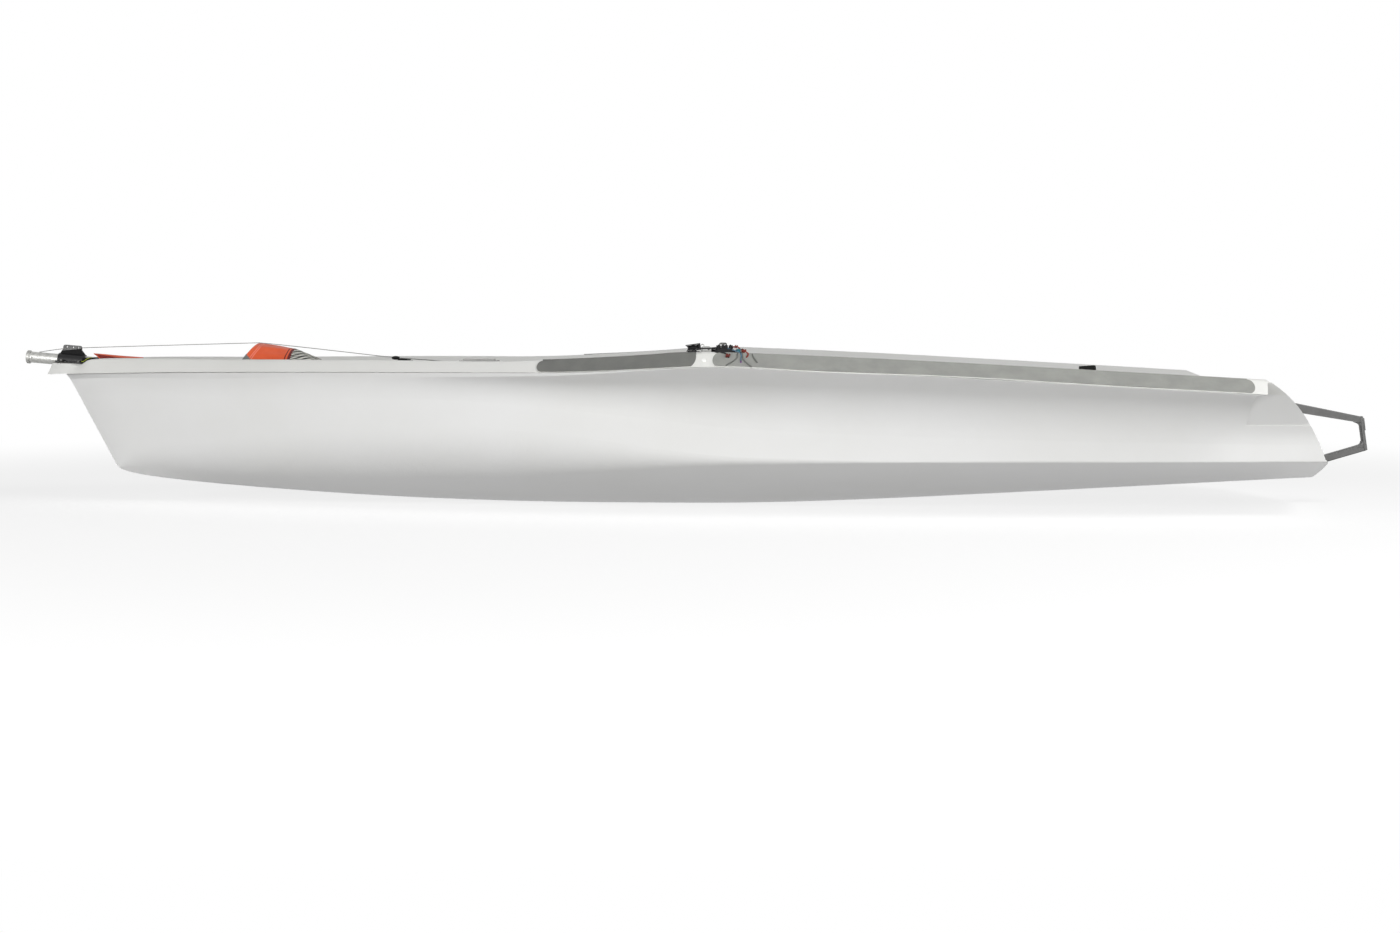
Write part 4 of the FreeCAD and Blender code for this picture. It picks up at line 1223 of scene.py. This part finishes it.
@dataclass(frozen=True)
class Arch:
    """One arch that cloth is stretched over, standing on the deck.

    Attributes:
        x: Where it stands.
        lean: Degrees that it leans aft.
        half: Half width, just below the deck.
        height: Above the deck.
        sunk: How far below the deck its feet are.
    """

    x: float
    lean: float
    half: float
    height: float
    sunk: float = 0.012

    def place(self, share: float, lift: float = 0.0, ahead: float = 0.0) -> Vector:
        """Place on the arch above the deck.

        Args:
            share: From nought at the starboard foot to one at the port foot.
            lift: How far out from the arch.
            ahead: How far forward of it.

        Returns:
            The place.
        """
        rise = self.sunk + self.height
        radius = (self.half**2 + rise**2) / (2 * rise)
        reach = math.acos(max(-1.0, (self.sunk - rise + radius) / radius))
        turn = (2 * share - 1) * reach
        up = (radius + lift) * math.cos(turn) - radius + self.height
        back = up * math.tan(math.radians(self.lean))
        floor = deck_top(self.x, 0.0)
        return Vector((self.x + ahead - back, (radius + lift) * math.sin(turn), floor + up))


@dataclass
class ChuteSock:
    """Cloth mouth over the hoop, the mesh tail behind it and the lips at its foot.

    Attributes:
        front: Arch of the mouth.
        middle: Arch where cloth meets mesh.
        back: Arch where the mesh goes flat.
        cloth_thick: Thickness of the coated cloth.
        mesh_thick: Thickness of the mesh.
        tube: Radius of the hoop's tube.
        hem: Share of the cloth that rolls round the hoop.
    """

    front: Arch = Arch(1.551, 30, 0.112, 0.064)
    middle: Arch = Arch(1.391, 8, 0.096, 0.0475)
    back: Arch = Arch(1.298, 5, 0.074, 0.011)
    cloth_thick: float = 0.0012
    mesh_thick: float = 0.0014
    tube: float = 0.0038
    hem: float = 0.16

    def build(self) -> None:
        """Makes the sock's pieces."""
        hoop = cloth("chute_hoop_tube", (16, 60), self.hoop_shape, 0.0008, Finishes.STEEL, "steel")
        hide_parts("chute_hoop")
        mouth = cloth(
            "sock_mouth_cloth",
            (72, 60),
            self.mouth_shape,
            self.cloth_thick,
            Finishes.SOCK,
            "sock_orange",
        )
        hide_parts("sock_mouth")
        tail = cloth(
            "sock_mesh_tail", (96, 28), self.tail_shape, self.mesh_thick, Finishes.MESH, "sock_mesh"
        )
        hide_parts("sock_mesh")
        for side, name in SIDES:
            self.lip(side, name)
        bands = [
            self.band("sock_binding", 0.955, 1.012, 0.0012, Finishes.MAROON),
            self.band("sock_stripe", 0.895, 0.915, 0.0006, Finishes.MAROON),
            # Rows of hem stitching, made lighter partly by painted highlight
            self.band("hem_stitch_highlight_front", 0.245, 0.26, 0.0006, Finishes.STITCH),
            self.band("hem_stitch_highlight_back", 0.285, 0.30, 0.0006, Finishes.STITCH),
        ]

    def hoop_shape(self, across: float, along: float) -> Vector:
        """Round tube of the hoop.

        Args:
            across: Share round it.
            along: Share from foot to foot.

        Returns:
            The place.
        """
        turn = 2 * math.pi * across
        share = -0.03 + 1.06 * along
        return self.front.place(share, self.tube * math.sin(turn), self.tube * math.cos(turn))

    def mouth_shape(self, across: float, along: float) -> Vector:
        """Cloth that rolls round the hoop and pulls in to the tail in shallow folds.

        Args:
            across: Share across.
            along: Share from inside the mouth to the tail.

        Returns:
            The place.
        """
        wrap = self.tube + 0.0011
        if along < self.hem:
            turn = math.pi * (-0.62 + 1.12 * along / self.hem)
            return self.front.place(across, wrap * math.sin(turn), wrap * math.cos(turn))
        share = (along - self.hem) / (1 - self.hem)
        start = self.front.place(across, wrap, 0.0)
        end = self.middle.place(across, 0.001)
        place = start.lerp(end, share)
        body = math.sin(math.pi * min(1.0, share))
        fold = 0.0013 * body * math.sin(9.5 * math.pi * across + 1.3 * share)
        swell = 0.0012 * body * math.sin(math.pi * across)
        return place + Vector((0, 0.25 * fold, fold + swell))

    def tail_shape(self, across: float, along: float) -> Vector:
        """Mesh gathered in pleats that run aft and flatten out.

        Args:
            across: Share across.
            along: Share from the cloth to the end.

        Returns:
            The place.
        """
        start = self.middle.place(across, 0.0004, -0.0006)
        end = self.back.place(across)
        place = start.lerp(end, along)
        pleat = 0.0022 * math.sin(26 * math.pi * across + 5 * along) * (0.35 + 0.65 * along)
        edge = min(1.0, 8 * min(across, 1 - across))
        return place + Vector((0, 0.3 * pleat * edge, (pleat + 0.001) * edge))

    def lip(self, side: int, name: str) -> None:
        """Grey gusset over the lower front corner of the mouth.

        Args:
            side: One to port, minus one to starboard.
            name: Port or starboard.
        """

        def shape(across: float, along: float) -> Vector:
            share = 0.5 + side * (0.5 - 0.17 * along)
            place = self.mouth_shape(share, 0.03 + 0.36 * across * (1 - 0.9 * along))
            out = Vector((0.0009, side * 0.0013, 0.0006))
            return place + out

        gusset = cloth(
            f"sock_lip_{name}", (22, 20), shape, 0.0012, Finishes.GREY_CLOTH, "sock_mesh"
        )

    def band(
        self, name: str, first: float, last: float, lift: float, finish: Finish
    ) -> bpy.types.Object:
        """Tape or row of stitching that follows the cloth from foot to foot.

        Args:
            name: Its name.
            first: Share along the cloth where it starts.
            last: Share along the cloth where it ends.
            lift: How far it stands off the cloth.
            finish: Its finish.

        Returns:
            The settled tape.
        """

        def shape(across: float, along: float) -> Vector:
            share = first + (last - first) * along
            middle = self.front.place(0.5, -0.05, -0.08)
            place = self.mouth_shape(across, share)
            out = place - Vector((place.x, middle.y, middle.z))
            return place + out.normalized() * (lift + 0.0003 * math.sin(math.pi * along))

        return cloth(name, (72, 4), shape, 0.0007, finish, "sock_orange")


@dataclass
class BowFlap:
    """Cloth cover over the slot that the pole slides through.

    Attributes:
        half: Half width at the deck.
        thick: Thickness of the cloth.
        slot_half: Half width of the pole's slot in the deck, with a little to spare.
    """

    half: float = 0.040
    thick: float = 0.0014
    slot_half: float = 0.030

    def build(self) -> None:
        """Makes the flap, the dark red sheets of painted shade under its front and on its lower
        sides, and the gaiter ahead of it.
        """
        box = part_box("bow_flap")
        self.front, self.back = box[1][0] + 0.011, box[0][0] - 0.012
        self.tip, self.tail = box[1][2] - 0.0005, box[1][2] - 0.0148
        flap = cloth(
            "bow_flap_cloth", (40, 48), self.shape, self.thick, Finishes.SOCK, "sock_orange"
        )
        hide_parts("bow_flap")
        # Dark red sheet under the flap's front: painted shade of its inside
        underside_shade = cloth(
            "bow_flap_underside_shade", (28, 10), self.underside_shade_shape, 0.001, Finishes.DARK_RED, "sock_orange"
        )
        # Dark red cloth on each lower side: painted shade of the flap's shaded sides
        for side, name in SIDES:
            self.side_shade(side, name)
        gaiter = cloth(
            "pole_gaiter", (28, 14), self.gaiter_shape, 0.0014, Finishes.RUBBER, "black_rubber"
        )

    def shape(self, across: float, along: float) -> Vector:
        """Low ridge tent, highest at the front where it leans forward, that runs out on the deck.

        Args:
            across: Share across.
            along: Share from front to back.

        Returns:
            The place.
        """
        aside = abs(2 * across - 1)
        x = self.front + (self.back - self.front) * along - 0.047 * aside * (1 - along)
        y = (2 * across - 1) * self.half * (1 - 0.12 * along)
        floor = self.beside(x, y) + 0.0012
        middle = self.tip + (self.tail - self.tip) * min(1.0, along / 0.93)
        if along > 0.93:
            middle += (self.beside(x, 0) + 0.003 - middle) * (along - 0.93) / 0.07
        bow = 1 - aside**1.35
        wave = 0.0005 * math.sin(14 * across) * math.sin(9 * along) * bow
        return Vector((x, y, floor + max(0.0, middle - floor) * bow + wave))

    def underside_shade_shape(self, across: float, along: float) -> Vector:
        """Painted shade: a dark red sheet just under the flap's front, for the shade inside it that
        shows at the raised front edge.

        Args:
            across: Share across.
            along: Share from front to back.

        Returns:
            The place.
        """
        place = self.shape(0.03 + 0.94 * across, 0.34 * along)
        return place + Vector((-0.001, 0, -0.0022))

    def side_shade(self, side: int, name: str) -> None:
        """Painted shade: dark red cloth laid along the flap's lower side, for the shade that falls
        on that side.

        Args:
            side: One to port, minus one to starboard.
            name: Port or starboard.
        """

        def shape(across: float, along: float) -> Vector:
            high = 0.82 - 0.36 * along
            share = 0.5 + side * 0.5 * (1 - high * (1 - across))
            place = self.shape(share, 0.02 + 0.62 * along)
            return place + Vector((0, side * 0.0008, 0.0010))

        side_shade_cloth = cloth(
            f"flap_side_shade_{name}", (12, 30), shape, 0.0009, Finishes.DARK_RED, "sock_orange"
        )

    def gaiter_shape(self, across: float, along: float) -> Vector:
        """Black sleeve round the top of the pole between saddle and flap.

        Args:
            across: Share across.
            along: Share from front to back.

        Returns:
            The place.
        """
        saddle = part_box("bow_saddle")
        front = saddle[0][0] + 0.006
        x = front + (self.front - 0.030 - front) * along
        turn = math.pi * (across - 0.5) * 1.05
        y = (0.030 - 0.004 * along) * math.sin(turn)
        top = 0.5075 - 0.004 * along - 0.0008 * math.sin(2 * math.pi * along)
        floor = self.beside(x, y)
        arch = max(0.0, math.cos(turn)) ** 0.7
        return Vector((x, y, floor + 0.001 + (top - floor - 0.001) * arch))

    def beside(self, x: float, y: float) -> float:
        """Height of the deck at a place, or beside the pole's slot where the place is over it.

        Args:
            x: Forward from the origin.
            y: To port.

        Returns:
            The height.
        """
        return deck_top(x, math.copysign(max(abs(y), self.slot_half), y))


@dataclass
class GripPads:
    """Foam tread along the gunwales, with cut edges rounded by the knife and by wear.

    Attributes:
        rounding: Radius of the cut edge.
    """

    rounding: float = 0.0009

    def build(self) -> None:
        """Makes each pad from its CAD solid."""
        for end, finish, slot in (
            ("forward", Finishes.GRIP_DARK, "grip_foam_dark"),
            ("aft", Finishes.GRIP_LIGHT, "grip_foam_light"),
        ):
            for side in ("port", "starboard"):
                node = f"grip_pad_{end}_{side}"
                pad = node_copy(node)
                apply_modifier(
                    pad,
                    "BEVEL",
                    width=self.rounding,
                    segments=2,
                    limit_method="ANGLE",
                    angle_limit=math.radians(45),
                )
                settle(pad, f"tread_{end}_{side}", finish, slot)
                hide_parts(node)


@dataclass
class ToeStraps:
    """Webbing straps along the cockpit, each with a stitched foam sleeve.

    Attributes:
        width: Of the webbing.
        thick: Of the webbing.
        sleeve_width: Of the padded part.
        sag: How far the middle hangs.
    """

    width: float = 0.048
    thick: float = 0.0025
    sleeve_width: float = 0.056
    sag: float = 0.010

    def build(self) -> None:
        """Makes both straps."""
        for name in ("port", "starboard"):
            node = f"toe_strap_{name}"
            low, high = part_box(node)
            self.middle_y = (low[1] + high[1]) / 2
            self.front, self.back = high[0], low[0]
            self.low_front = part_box(f"strap_plate_front_{name}")[1][2] + 0.002
            self.low_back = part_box(f"strap_plate_back_{name}")[1][2] + 0.002
            self.rise = high[2] - self.low_front - 0.002
            strap = cloth(
                f"toe_webbing_{name}",
                (4, 110),
                self.strap_shape,
                self.thick,
                Finishes.WEBBING,
                "webbing",
            )
            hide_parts(node)
            sleeve = cloth(
                f"toe_sleeve_{name}",
                (12, 80),
                self.sleeve_shape,
                0.0015,
                Finishes.SLEEVE,
                "webbing",
            )

    def line(self, share: float) -> tuple[float, float]:
        """Where the strap's middle runs.

        Args:
            share: From front to back.

        Returns:
            Forward place and height.
        """
        x = self.front + (self.back - self.front) * share
        ramp = 0.115
        if share < ramp:
            up = math.sin(0.5 * math.pi * share / ramp)
        elif share > 1 - ramp:
            up = math.sin(0.5 * math.pi * (1 - share) / ramp)
        else:
            up = 1.0
        floor = self.low_front + (self.low_back - self.low_front) * share
        drop = self.sag * math.sin(math.pi * min(1, max(0, (share - ramp) / (1 - 2 * ramp))))
        return x, floor + self.rise * up - drop

    def strap_shape(self, across: float, along: float) -> Vector:
        """Place on the webbing.

        Args:
            across: Share across.
            along: Share from front to back.

        Returns:
            The place.
        """
        x, z = self.line(along)
        curl = 0.0012 * (2 * across - 1) ** 2 * math.sin(math.pi * along)
        return Vector((x, self.middle_y + (across - 0.5) * self.width, z - curl))

    def sleeve_shape(self, across: float, along: float) -> Vector:
        """Place round the sleeve, which is flat and thicker in its middle.

        Args:
            across: Share round it.
            along: Share from front to back.

        Returns:
            The place.
        """
        share = 0.16 + 0.68 * along
        x, z = self.line(share)
        turn = 2 * math.pi * across
        end = min(1.0, 14 * along + 0.25, 14 * (1 - along) + 0.25)
        wide = self.sleeve_width / 2 * math.copysign(abs(math.cos(turn)) ** 0.35, math.cos(turn))
        high = (0.0026 + 0.0022 * end) * math.copysign(abs(math.sin(turn)) ** 0.8, math.sin(turn))
        return Vector((x, self.middle_y + wide, z + high))


@dataclass
class DeckSkin:
    """Deck moulding with its nose fair under the bow fitting and its rail a little fuller.

    Attributes:
        nose: Forward place and greatest height of the deck's nose.
        rail: Forward place and how much fuller the rail stands.
    """

    nose: tuple[tuple[float, float], ...] = (
        (2.046, 0.520), (2.1, 0.505), (2.142, 0.4845), (2.26, 0.4865)
    )
    rail: tuple[tuple[float, float], ...] = (
        (1.50, 0.0),
        (1.55, 0.0004),
        (1.70, 0.0025),
        (1.92, 0.0048),
        (2.05, 0.0056),
        (2.10, 0.0045),
        (2.14, 0.0),
    )

    def build(self) -> None:
        """Makes the skin from the CAD solid."""
        skin = node_copy("deck")
        for vertex in skin.data.vertices:
            x, y, z = vertex.co
            aside = min(1.0, max(0.0, (abs(y) - 0.045) / 0.04))
            upper = min(1.0, max(0.0, (z - 0.453) / 0.03))
            z += self.between(self.rail, x) * aside * upper
            if x > self.nose[0][0]:
                z = min(z, self.between(self.nose, x))
            vertex.co.z = z
        settle(skin, "deck_skin", Finishes.DECK, "deck_gelcoat", keep_normals=True)
        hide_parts("deck")

    def between(self, stations: tuple[tuple[float, float], ...], x: float) -> float:
        """Value at a place between stations, nought outside them.

        Args:
            stations: Places and values.
            x: The place.

        Returns:
            The value.
        """
        for (first, low), (last, high) in zip(stations, stations[1:]):
            if first <= x <= last:
                return low + (high - low) * (x - first) / (last - first)
        return 0.0


# ---- hardware ---------------------------------------------------------------------------------


@dataclass
class Hardware:
    """Screws, rings, caps and other small fittings on the CAD nodes.

    Attributes:
        bolt: Head radius of the bow fitting's bolts.
        screw: Head radius of the gantry's and plates' screws.
        small: Head radius of the track's and hatches' screws.
        bolt_aside: How far the bow bolts stand from the middle.
        bolt_shares: Where they stand along the saddle, from its back.
        band_deep: Height of the fin's worn band.
        cap: Forward place and height of the screw caps on the gunwale.
        plug: Forward place, distance from the middle and radius of the sole's plugs.
        track_radius: Of the jib track's curve.
        track_half: Distance of its last screws from the middle.
        post_head: Side outline of the gantry post's top joint, forward place and height.
        post_gusset: Side outline of its lower joint.
    """

    bolt: float = 0.0062
    screw: float = 0.0048
    small: float = 0.0034
    bolt_aside: float = 0.0355
    bolt_shares: tuple[float, float] = (0.17, 0.80)
    band_deep: float = 0.0175
    cap: tuple[float, float] = (-0.0905, 0.5098)
    plug: tuple[float, float, float] = (0.42, 0.16, 0.021)
    track_radius: float = 1.4
    track_half: float = 0.29
    post_head: tuple[tuple[float, float], ...] = (
        (-2.3290, 0.3000),
        (-2.2984, 0.3072),
        (-2.2984, 0.2845),
        (-2.3095, 0.2810),
        (-2.3155, 0.2760),
        (-2.3185, 0.2690),
        (-2.3195, 0.2580),
        (-2.3345, 0.2580),
    )
    post_gusset: tuple[tuple[float, float], ...] = (
        (-2.3231, 0.2201),
        (-2.3212, 0.2125),
        (-2.3160, 0.2078),
        (-2.3052, 0.2045),
        (-2.3052, 0.1960),
        (-2.3300, 0.1985),
        (-2.3300, 0.2201),
    )

    def build(self) -> None:
        """Makes them all."""
        self.bow_bolts()
        self.fin_band()
        self.shroud_rings()
        self.gantry_screws()
        self.track_screws()
        self.hatch_screws()
        self.side_caps()
        self.slot_gasket()
        self.sole_drains()

    def bow_bolts(self) -> None:
        """Four bolts and washers through the bow fitting's flanges."""
        low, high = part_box("bow_saddle")
        up = POLE_UP
        length = high[0] - low[0]
        y = self.bolt_aside
        places = []
        for share in self.bolt_shares:
            x = low[0] + length * share
            struck = hit(("bow_saddle",), Vector((x, y, ABOVE)), DOWN)
            places.append(struck)
        first = places[0]
        across, aft = Vector((0, -2 * y, 0)), places[1] - first
        shifts = [across, aft, aft + across]
        washer = round_bar(first - up * 0.0005, first + up * 0.0012, self.bolt * 1.25, 0.0004)
        copies(washer, shifts, "bow_washer", Finishes.DARK_STEEL, "steel")
        screw = socket_screw(first + up * 0.001, up, self.bolt)
        copies(screw, shifts, "bow_bolt", Finishes.DARK_STEEL, "steel")

    def fin_band(self) -> None:
        """Worn top of the fin round its holes, a hair proud of the rest."""
        band = node_copy("bow_fin")
        select_faces(band, lambda face: True)
        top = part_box("bow_fin")[1][2]
        bpy.ops.mesh.bisect(
            plane_co=(2.177, 0, top - self.band_deep),
            plane_no=(0.0837, 0, 0.9965),
            clear_inner=True,
            use_fill=True,
        )
        bpy.ops.mesh.select_all(action="SELECT")
        bpy.ops.transform.resize(value=(1.0, 1.1, 1.0), center_override=(0, 0, 0))
        bpy.ops.object.mode_set(mode="OBJECT")
        settle(band, "fin_band", Finishes.WORN_BLACK, "black_anodised")

    def shroud_rings(self) -> None:
        """A shackle in each chainplate, standing to port and fallen over to starboard."""
        for side, name in SIDES:
            low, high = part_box(f"chainplate_{name}")
            x = (low[0] + high[0]) / 2 + 0.012
            y = (low[1] + high[1]) / 2 - side * 0.002
            pin_z = high[2] - 0.0105
            place, axis = Vector((x, y, pin_z + 0.0085)), Vector((0.25, 1, 0.2))
            if side < 0:
                place = Vector((x, y + 0.016, deck_top(x, y + 0.016) + 0.0035))
                axis = Vector((0.05, 0.1, 1))
            ring = wire_ring(place, axis, 0.0072, 0.0015)
            select_faces(ring, lambda face: True)
            bpy.ops.transform.resize(value=(0.8, 1.0, 1.12), center_override=place)
            bpy.ops.object.mode_set(mode="OBJECT")
            settle(ring, f"shroud_ring_{name}", Finishes.STEEL, "steel")

    def gantry_screws(self) -> None:
        """Screws in the three feet of the rudder gantry, and the top joint and gusset on its post.
        """
        for foot, half in (("port", 0.022), ("starboard", 0.022), ("lower", 0.022)):
            low, high = (Vector(c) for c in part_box(f"gantry_foot_{foot}"))
            middle = (low + high) / 2
            node = (f"gantry_foot_{foot}",)
            spots = []
            for across in (half, -half):
                for step in (half, -half):
                    aim = middle + Vector((0, across, 0))
                    aim.z += step * 0.85
                    found = self.face(node[0], aim)
                    spots.append(found)
            normal = self.outward(node[0], middle)
            screw = socket_screw(spots[0] + normal * 0.0002, normal, self.screw)
            shifts = [spot - spots[0] for spot in spots[1:]]
            copies(screw, shifts, f"gantry_screw_{foot}", Finishes.STEEL, "steel")
        for name, outline in (("post_head", self.post_head), ("post_gusset", self.post_gusset)):
            settle(prism(name, outline, 0.0155, 0.0012), name, Finishes.GANTRY, "gantry_grey")

    def face(self, node: str, aim: Vector) -> Vector:
        """Place on a foot's outer face, straight aft of a point.

        Args:
            node: The foot.
            aim: The point.

        Returns:
            The place.
        """
        return hit((node,), Vector((-3.0, aim.y, aim.z)), FORWARD)

    def outward(self, node: str, middle: Vector) -> Vector:
        """The way that a foot's outer face looks.

        Args:
            node: The foot.
            middle: Its middle.

        Returns:
            The unit normal.
        """
        high = self.face(node, middle + Vector((0, 0.025, 0.012)))
        low = self.face(node, middle + Vector((0, 0.025, -0.012)))
        up = (high - low).normalized()
        return Vector((-up.z, 0, up.x))

    def track_screws(self) -> None:
        """Screws along the jib track and in the mast step."""
        track = ("jib_track",)
        radius = self.track_radius
        centre = Vector((1.0 + radius, 0, 0))
        spots = []
        for number in range(9):
            y = -self.track_half + self.track_half / 4 * number
            if abs(y) < 0.05:
                continue
            x = centre.x - math.sqrt(radius**2 - y**2)
            spots.append(hit(track, Vector((x, y, 0.8)), DOWN))
        self.screws(spots, UP, self.small, "track_screw")
        low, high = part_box("mast_step")
        corners = []
        for x in (low[0] + 0.012, high[0] - 0.012):
            for y in (low[1] + 0.010, high[1] - 0.010):
                corners.append(hit(("mast_step",), Vector((x, y, 0.8)), DOWN))
        self.screws(corners, UP, self.screw, "step_screw")

    def screws(self, spots: list[Vector], axis: Vector, radius: float, name: str) -> None:
        """One steel screw and its copies.

        Args:
            spots: Where each stands.
            axis: The way that their heads stand out.
            radius: Of the heads.
            name: Name stem.
        """
        screw = socket_screw(spots[0], axis, radius)
        shifts = [spot - spots[0] for spot in spots[1:]]
        copies(screw, shifts, name, Finishes.STEEL, "steel")

    def hatch_screws(self) -> None:
        """Screws round the rims of the two hatches."""
        for name in ("port", "starboard"):
            low, high = (Vector(c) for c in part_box(f"hatch_{name}"))
            middle = (low + high) / 2
            radius = (high.y - low.y) / 2 - 0.007
            spots = []
            for number in range(8):
                turn = math.radians(22.5 + 45 * number)
                start = Vector((low.x - 0.2, middle.y, middle.z))
                start += Vector((0, math.cos(turn), math.sin(turn))) * radius
                spots.append(hit((f"hatch_{name}",), start, FORWARD))
            self.screws(spots, Vector((-1, 0, 0)), self.small, f"hatch_screw_{name}")

    def side_caps(self) -> None:
        """White screw caps on the gunwale between its pads, where the shroud plates are bolted."""
        for side, name in SIDES:
            face = hit(("deck",), Vector((self.cap[0], ABEAM, self.cap[1])), TO_STARBOARD)
            out = Vector((0, 0.62, 0.78))
            start, end = face - out * 0.001, face + out * 0.0028
            start.y, end.y = start.y * side, end.y * side
            cap = round_bar(start, end, 0.0078, 0.0016)
            settle(cap, f"bolt_cap_{name}", Finishes.WHITE_CAP, "deck_gelcoat")

    def slot_gasket(self) -> None:
        """Rubber lips along the slot of the centreboard trunk."""
        low, high = (Vector(c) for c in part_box("trunk_cap"))
        half = 0.013
        for side, name in SIDES:
            edge = sorted((side * half, side * 0.003))
            lip = rounded_block(
                Vector((low.x + 0.056, edge[0], high.z - 0.0065)),
                Vector((high.x - 0.056, edge[1], high.z - 0.0035)),
                0.0008,
            )
            settle(lip, f"slot_gasket_{name}", Finishes.RUBBER, "black_rubber")

    def sole_drains(self) -> None:
        """Inspection plug in the sole, port and starboard of the trunk."""
        x, aside, radius = self.plug
        for side, name in SIDES:
            spot = hit(("cockpit_liner",), Vector((x, side * aside, 0.38)), DOWN)
            foot, head = spot - Vector((0, 0, 0.001)), spot + Vector((0, 0, 0.004))
            plug = round_bar(foot, head, radius, 0.0015)
            select_faces(plug, lambda face: face.normal.z > 0.99)
            bpy.ops.mesh.inset(thickness=0.004, depth=-0.0012)
            bpy.ops.object.mode_set(mode="OBJECT")
            settle(plug, f"sole_plug_{name}", Finishes.NYLON, "black_nylon")


# ---- CAD nodes --------------------------------------------------------------------------------


def dress_cad_nodes() -> None:
    """Gives every CAD node the finish of its material slot."""
    slots = {row["node"]: row["material_slot"] for row in frame["record"]["subparts"]}
    for node, piece in frame["nodes"].items():
        finish = NODE_FINISH.get(node) or SLOT_FINISH[slots[node]]
        material = finish.material()
        piece.data.materials.clear()
        piece.data.materials.append(material)


# The lines come first, then the cloth and foam, then the metal
MAKERS = (ShoulderLines, BowLines, ChuteSock, BowFlap, GripPads, ToeStraps, Hardware, DeckSkin)


def main() -> None:
    """Builds the boat's looks in order and reports each part."""
    logging.basicConfig(level=logging.INFO, format="%(name)s: %(message)s")
    Studio().build()
    LOG.info("stage")
    for maker in MAKERS:
        maker().build()
        LOG.info(maker.__name__)
    dress_cad_nodes()
    LOG.info("cad nodes")


if __name__ == "__main__":
    main()
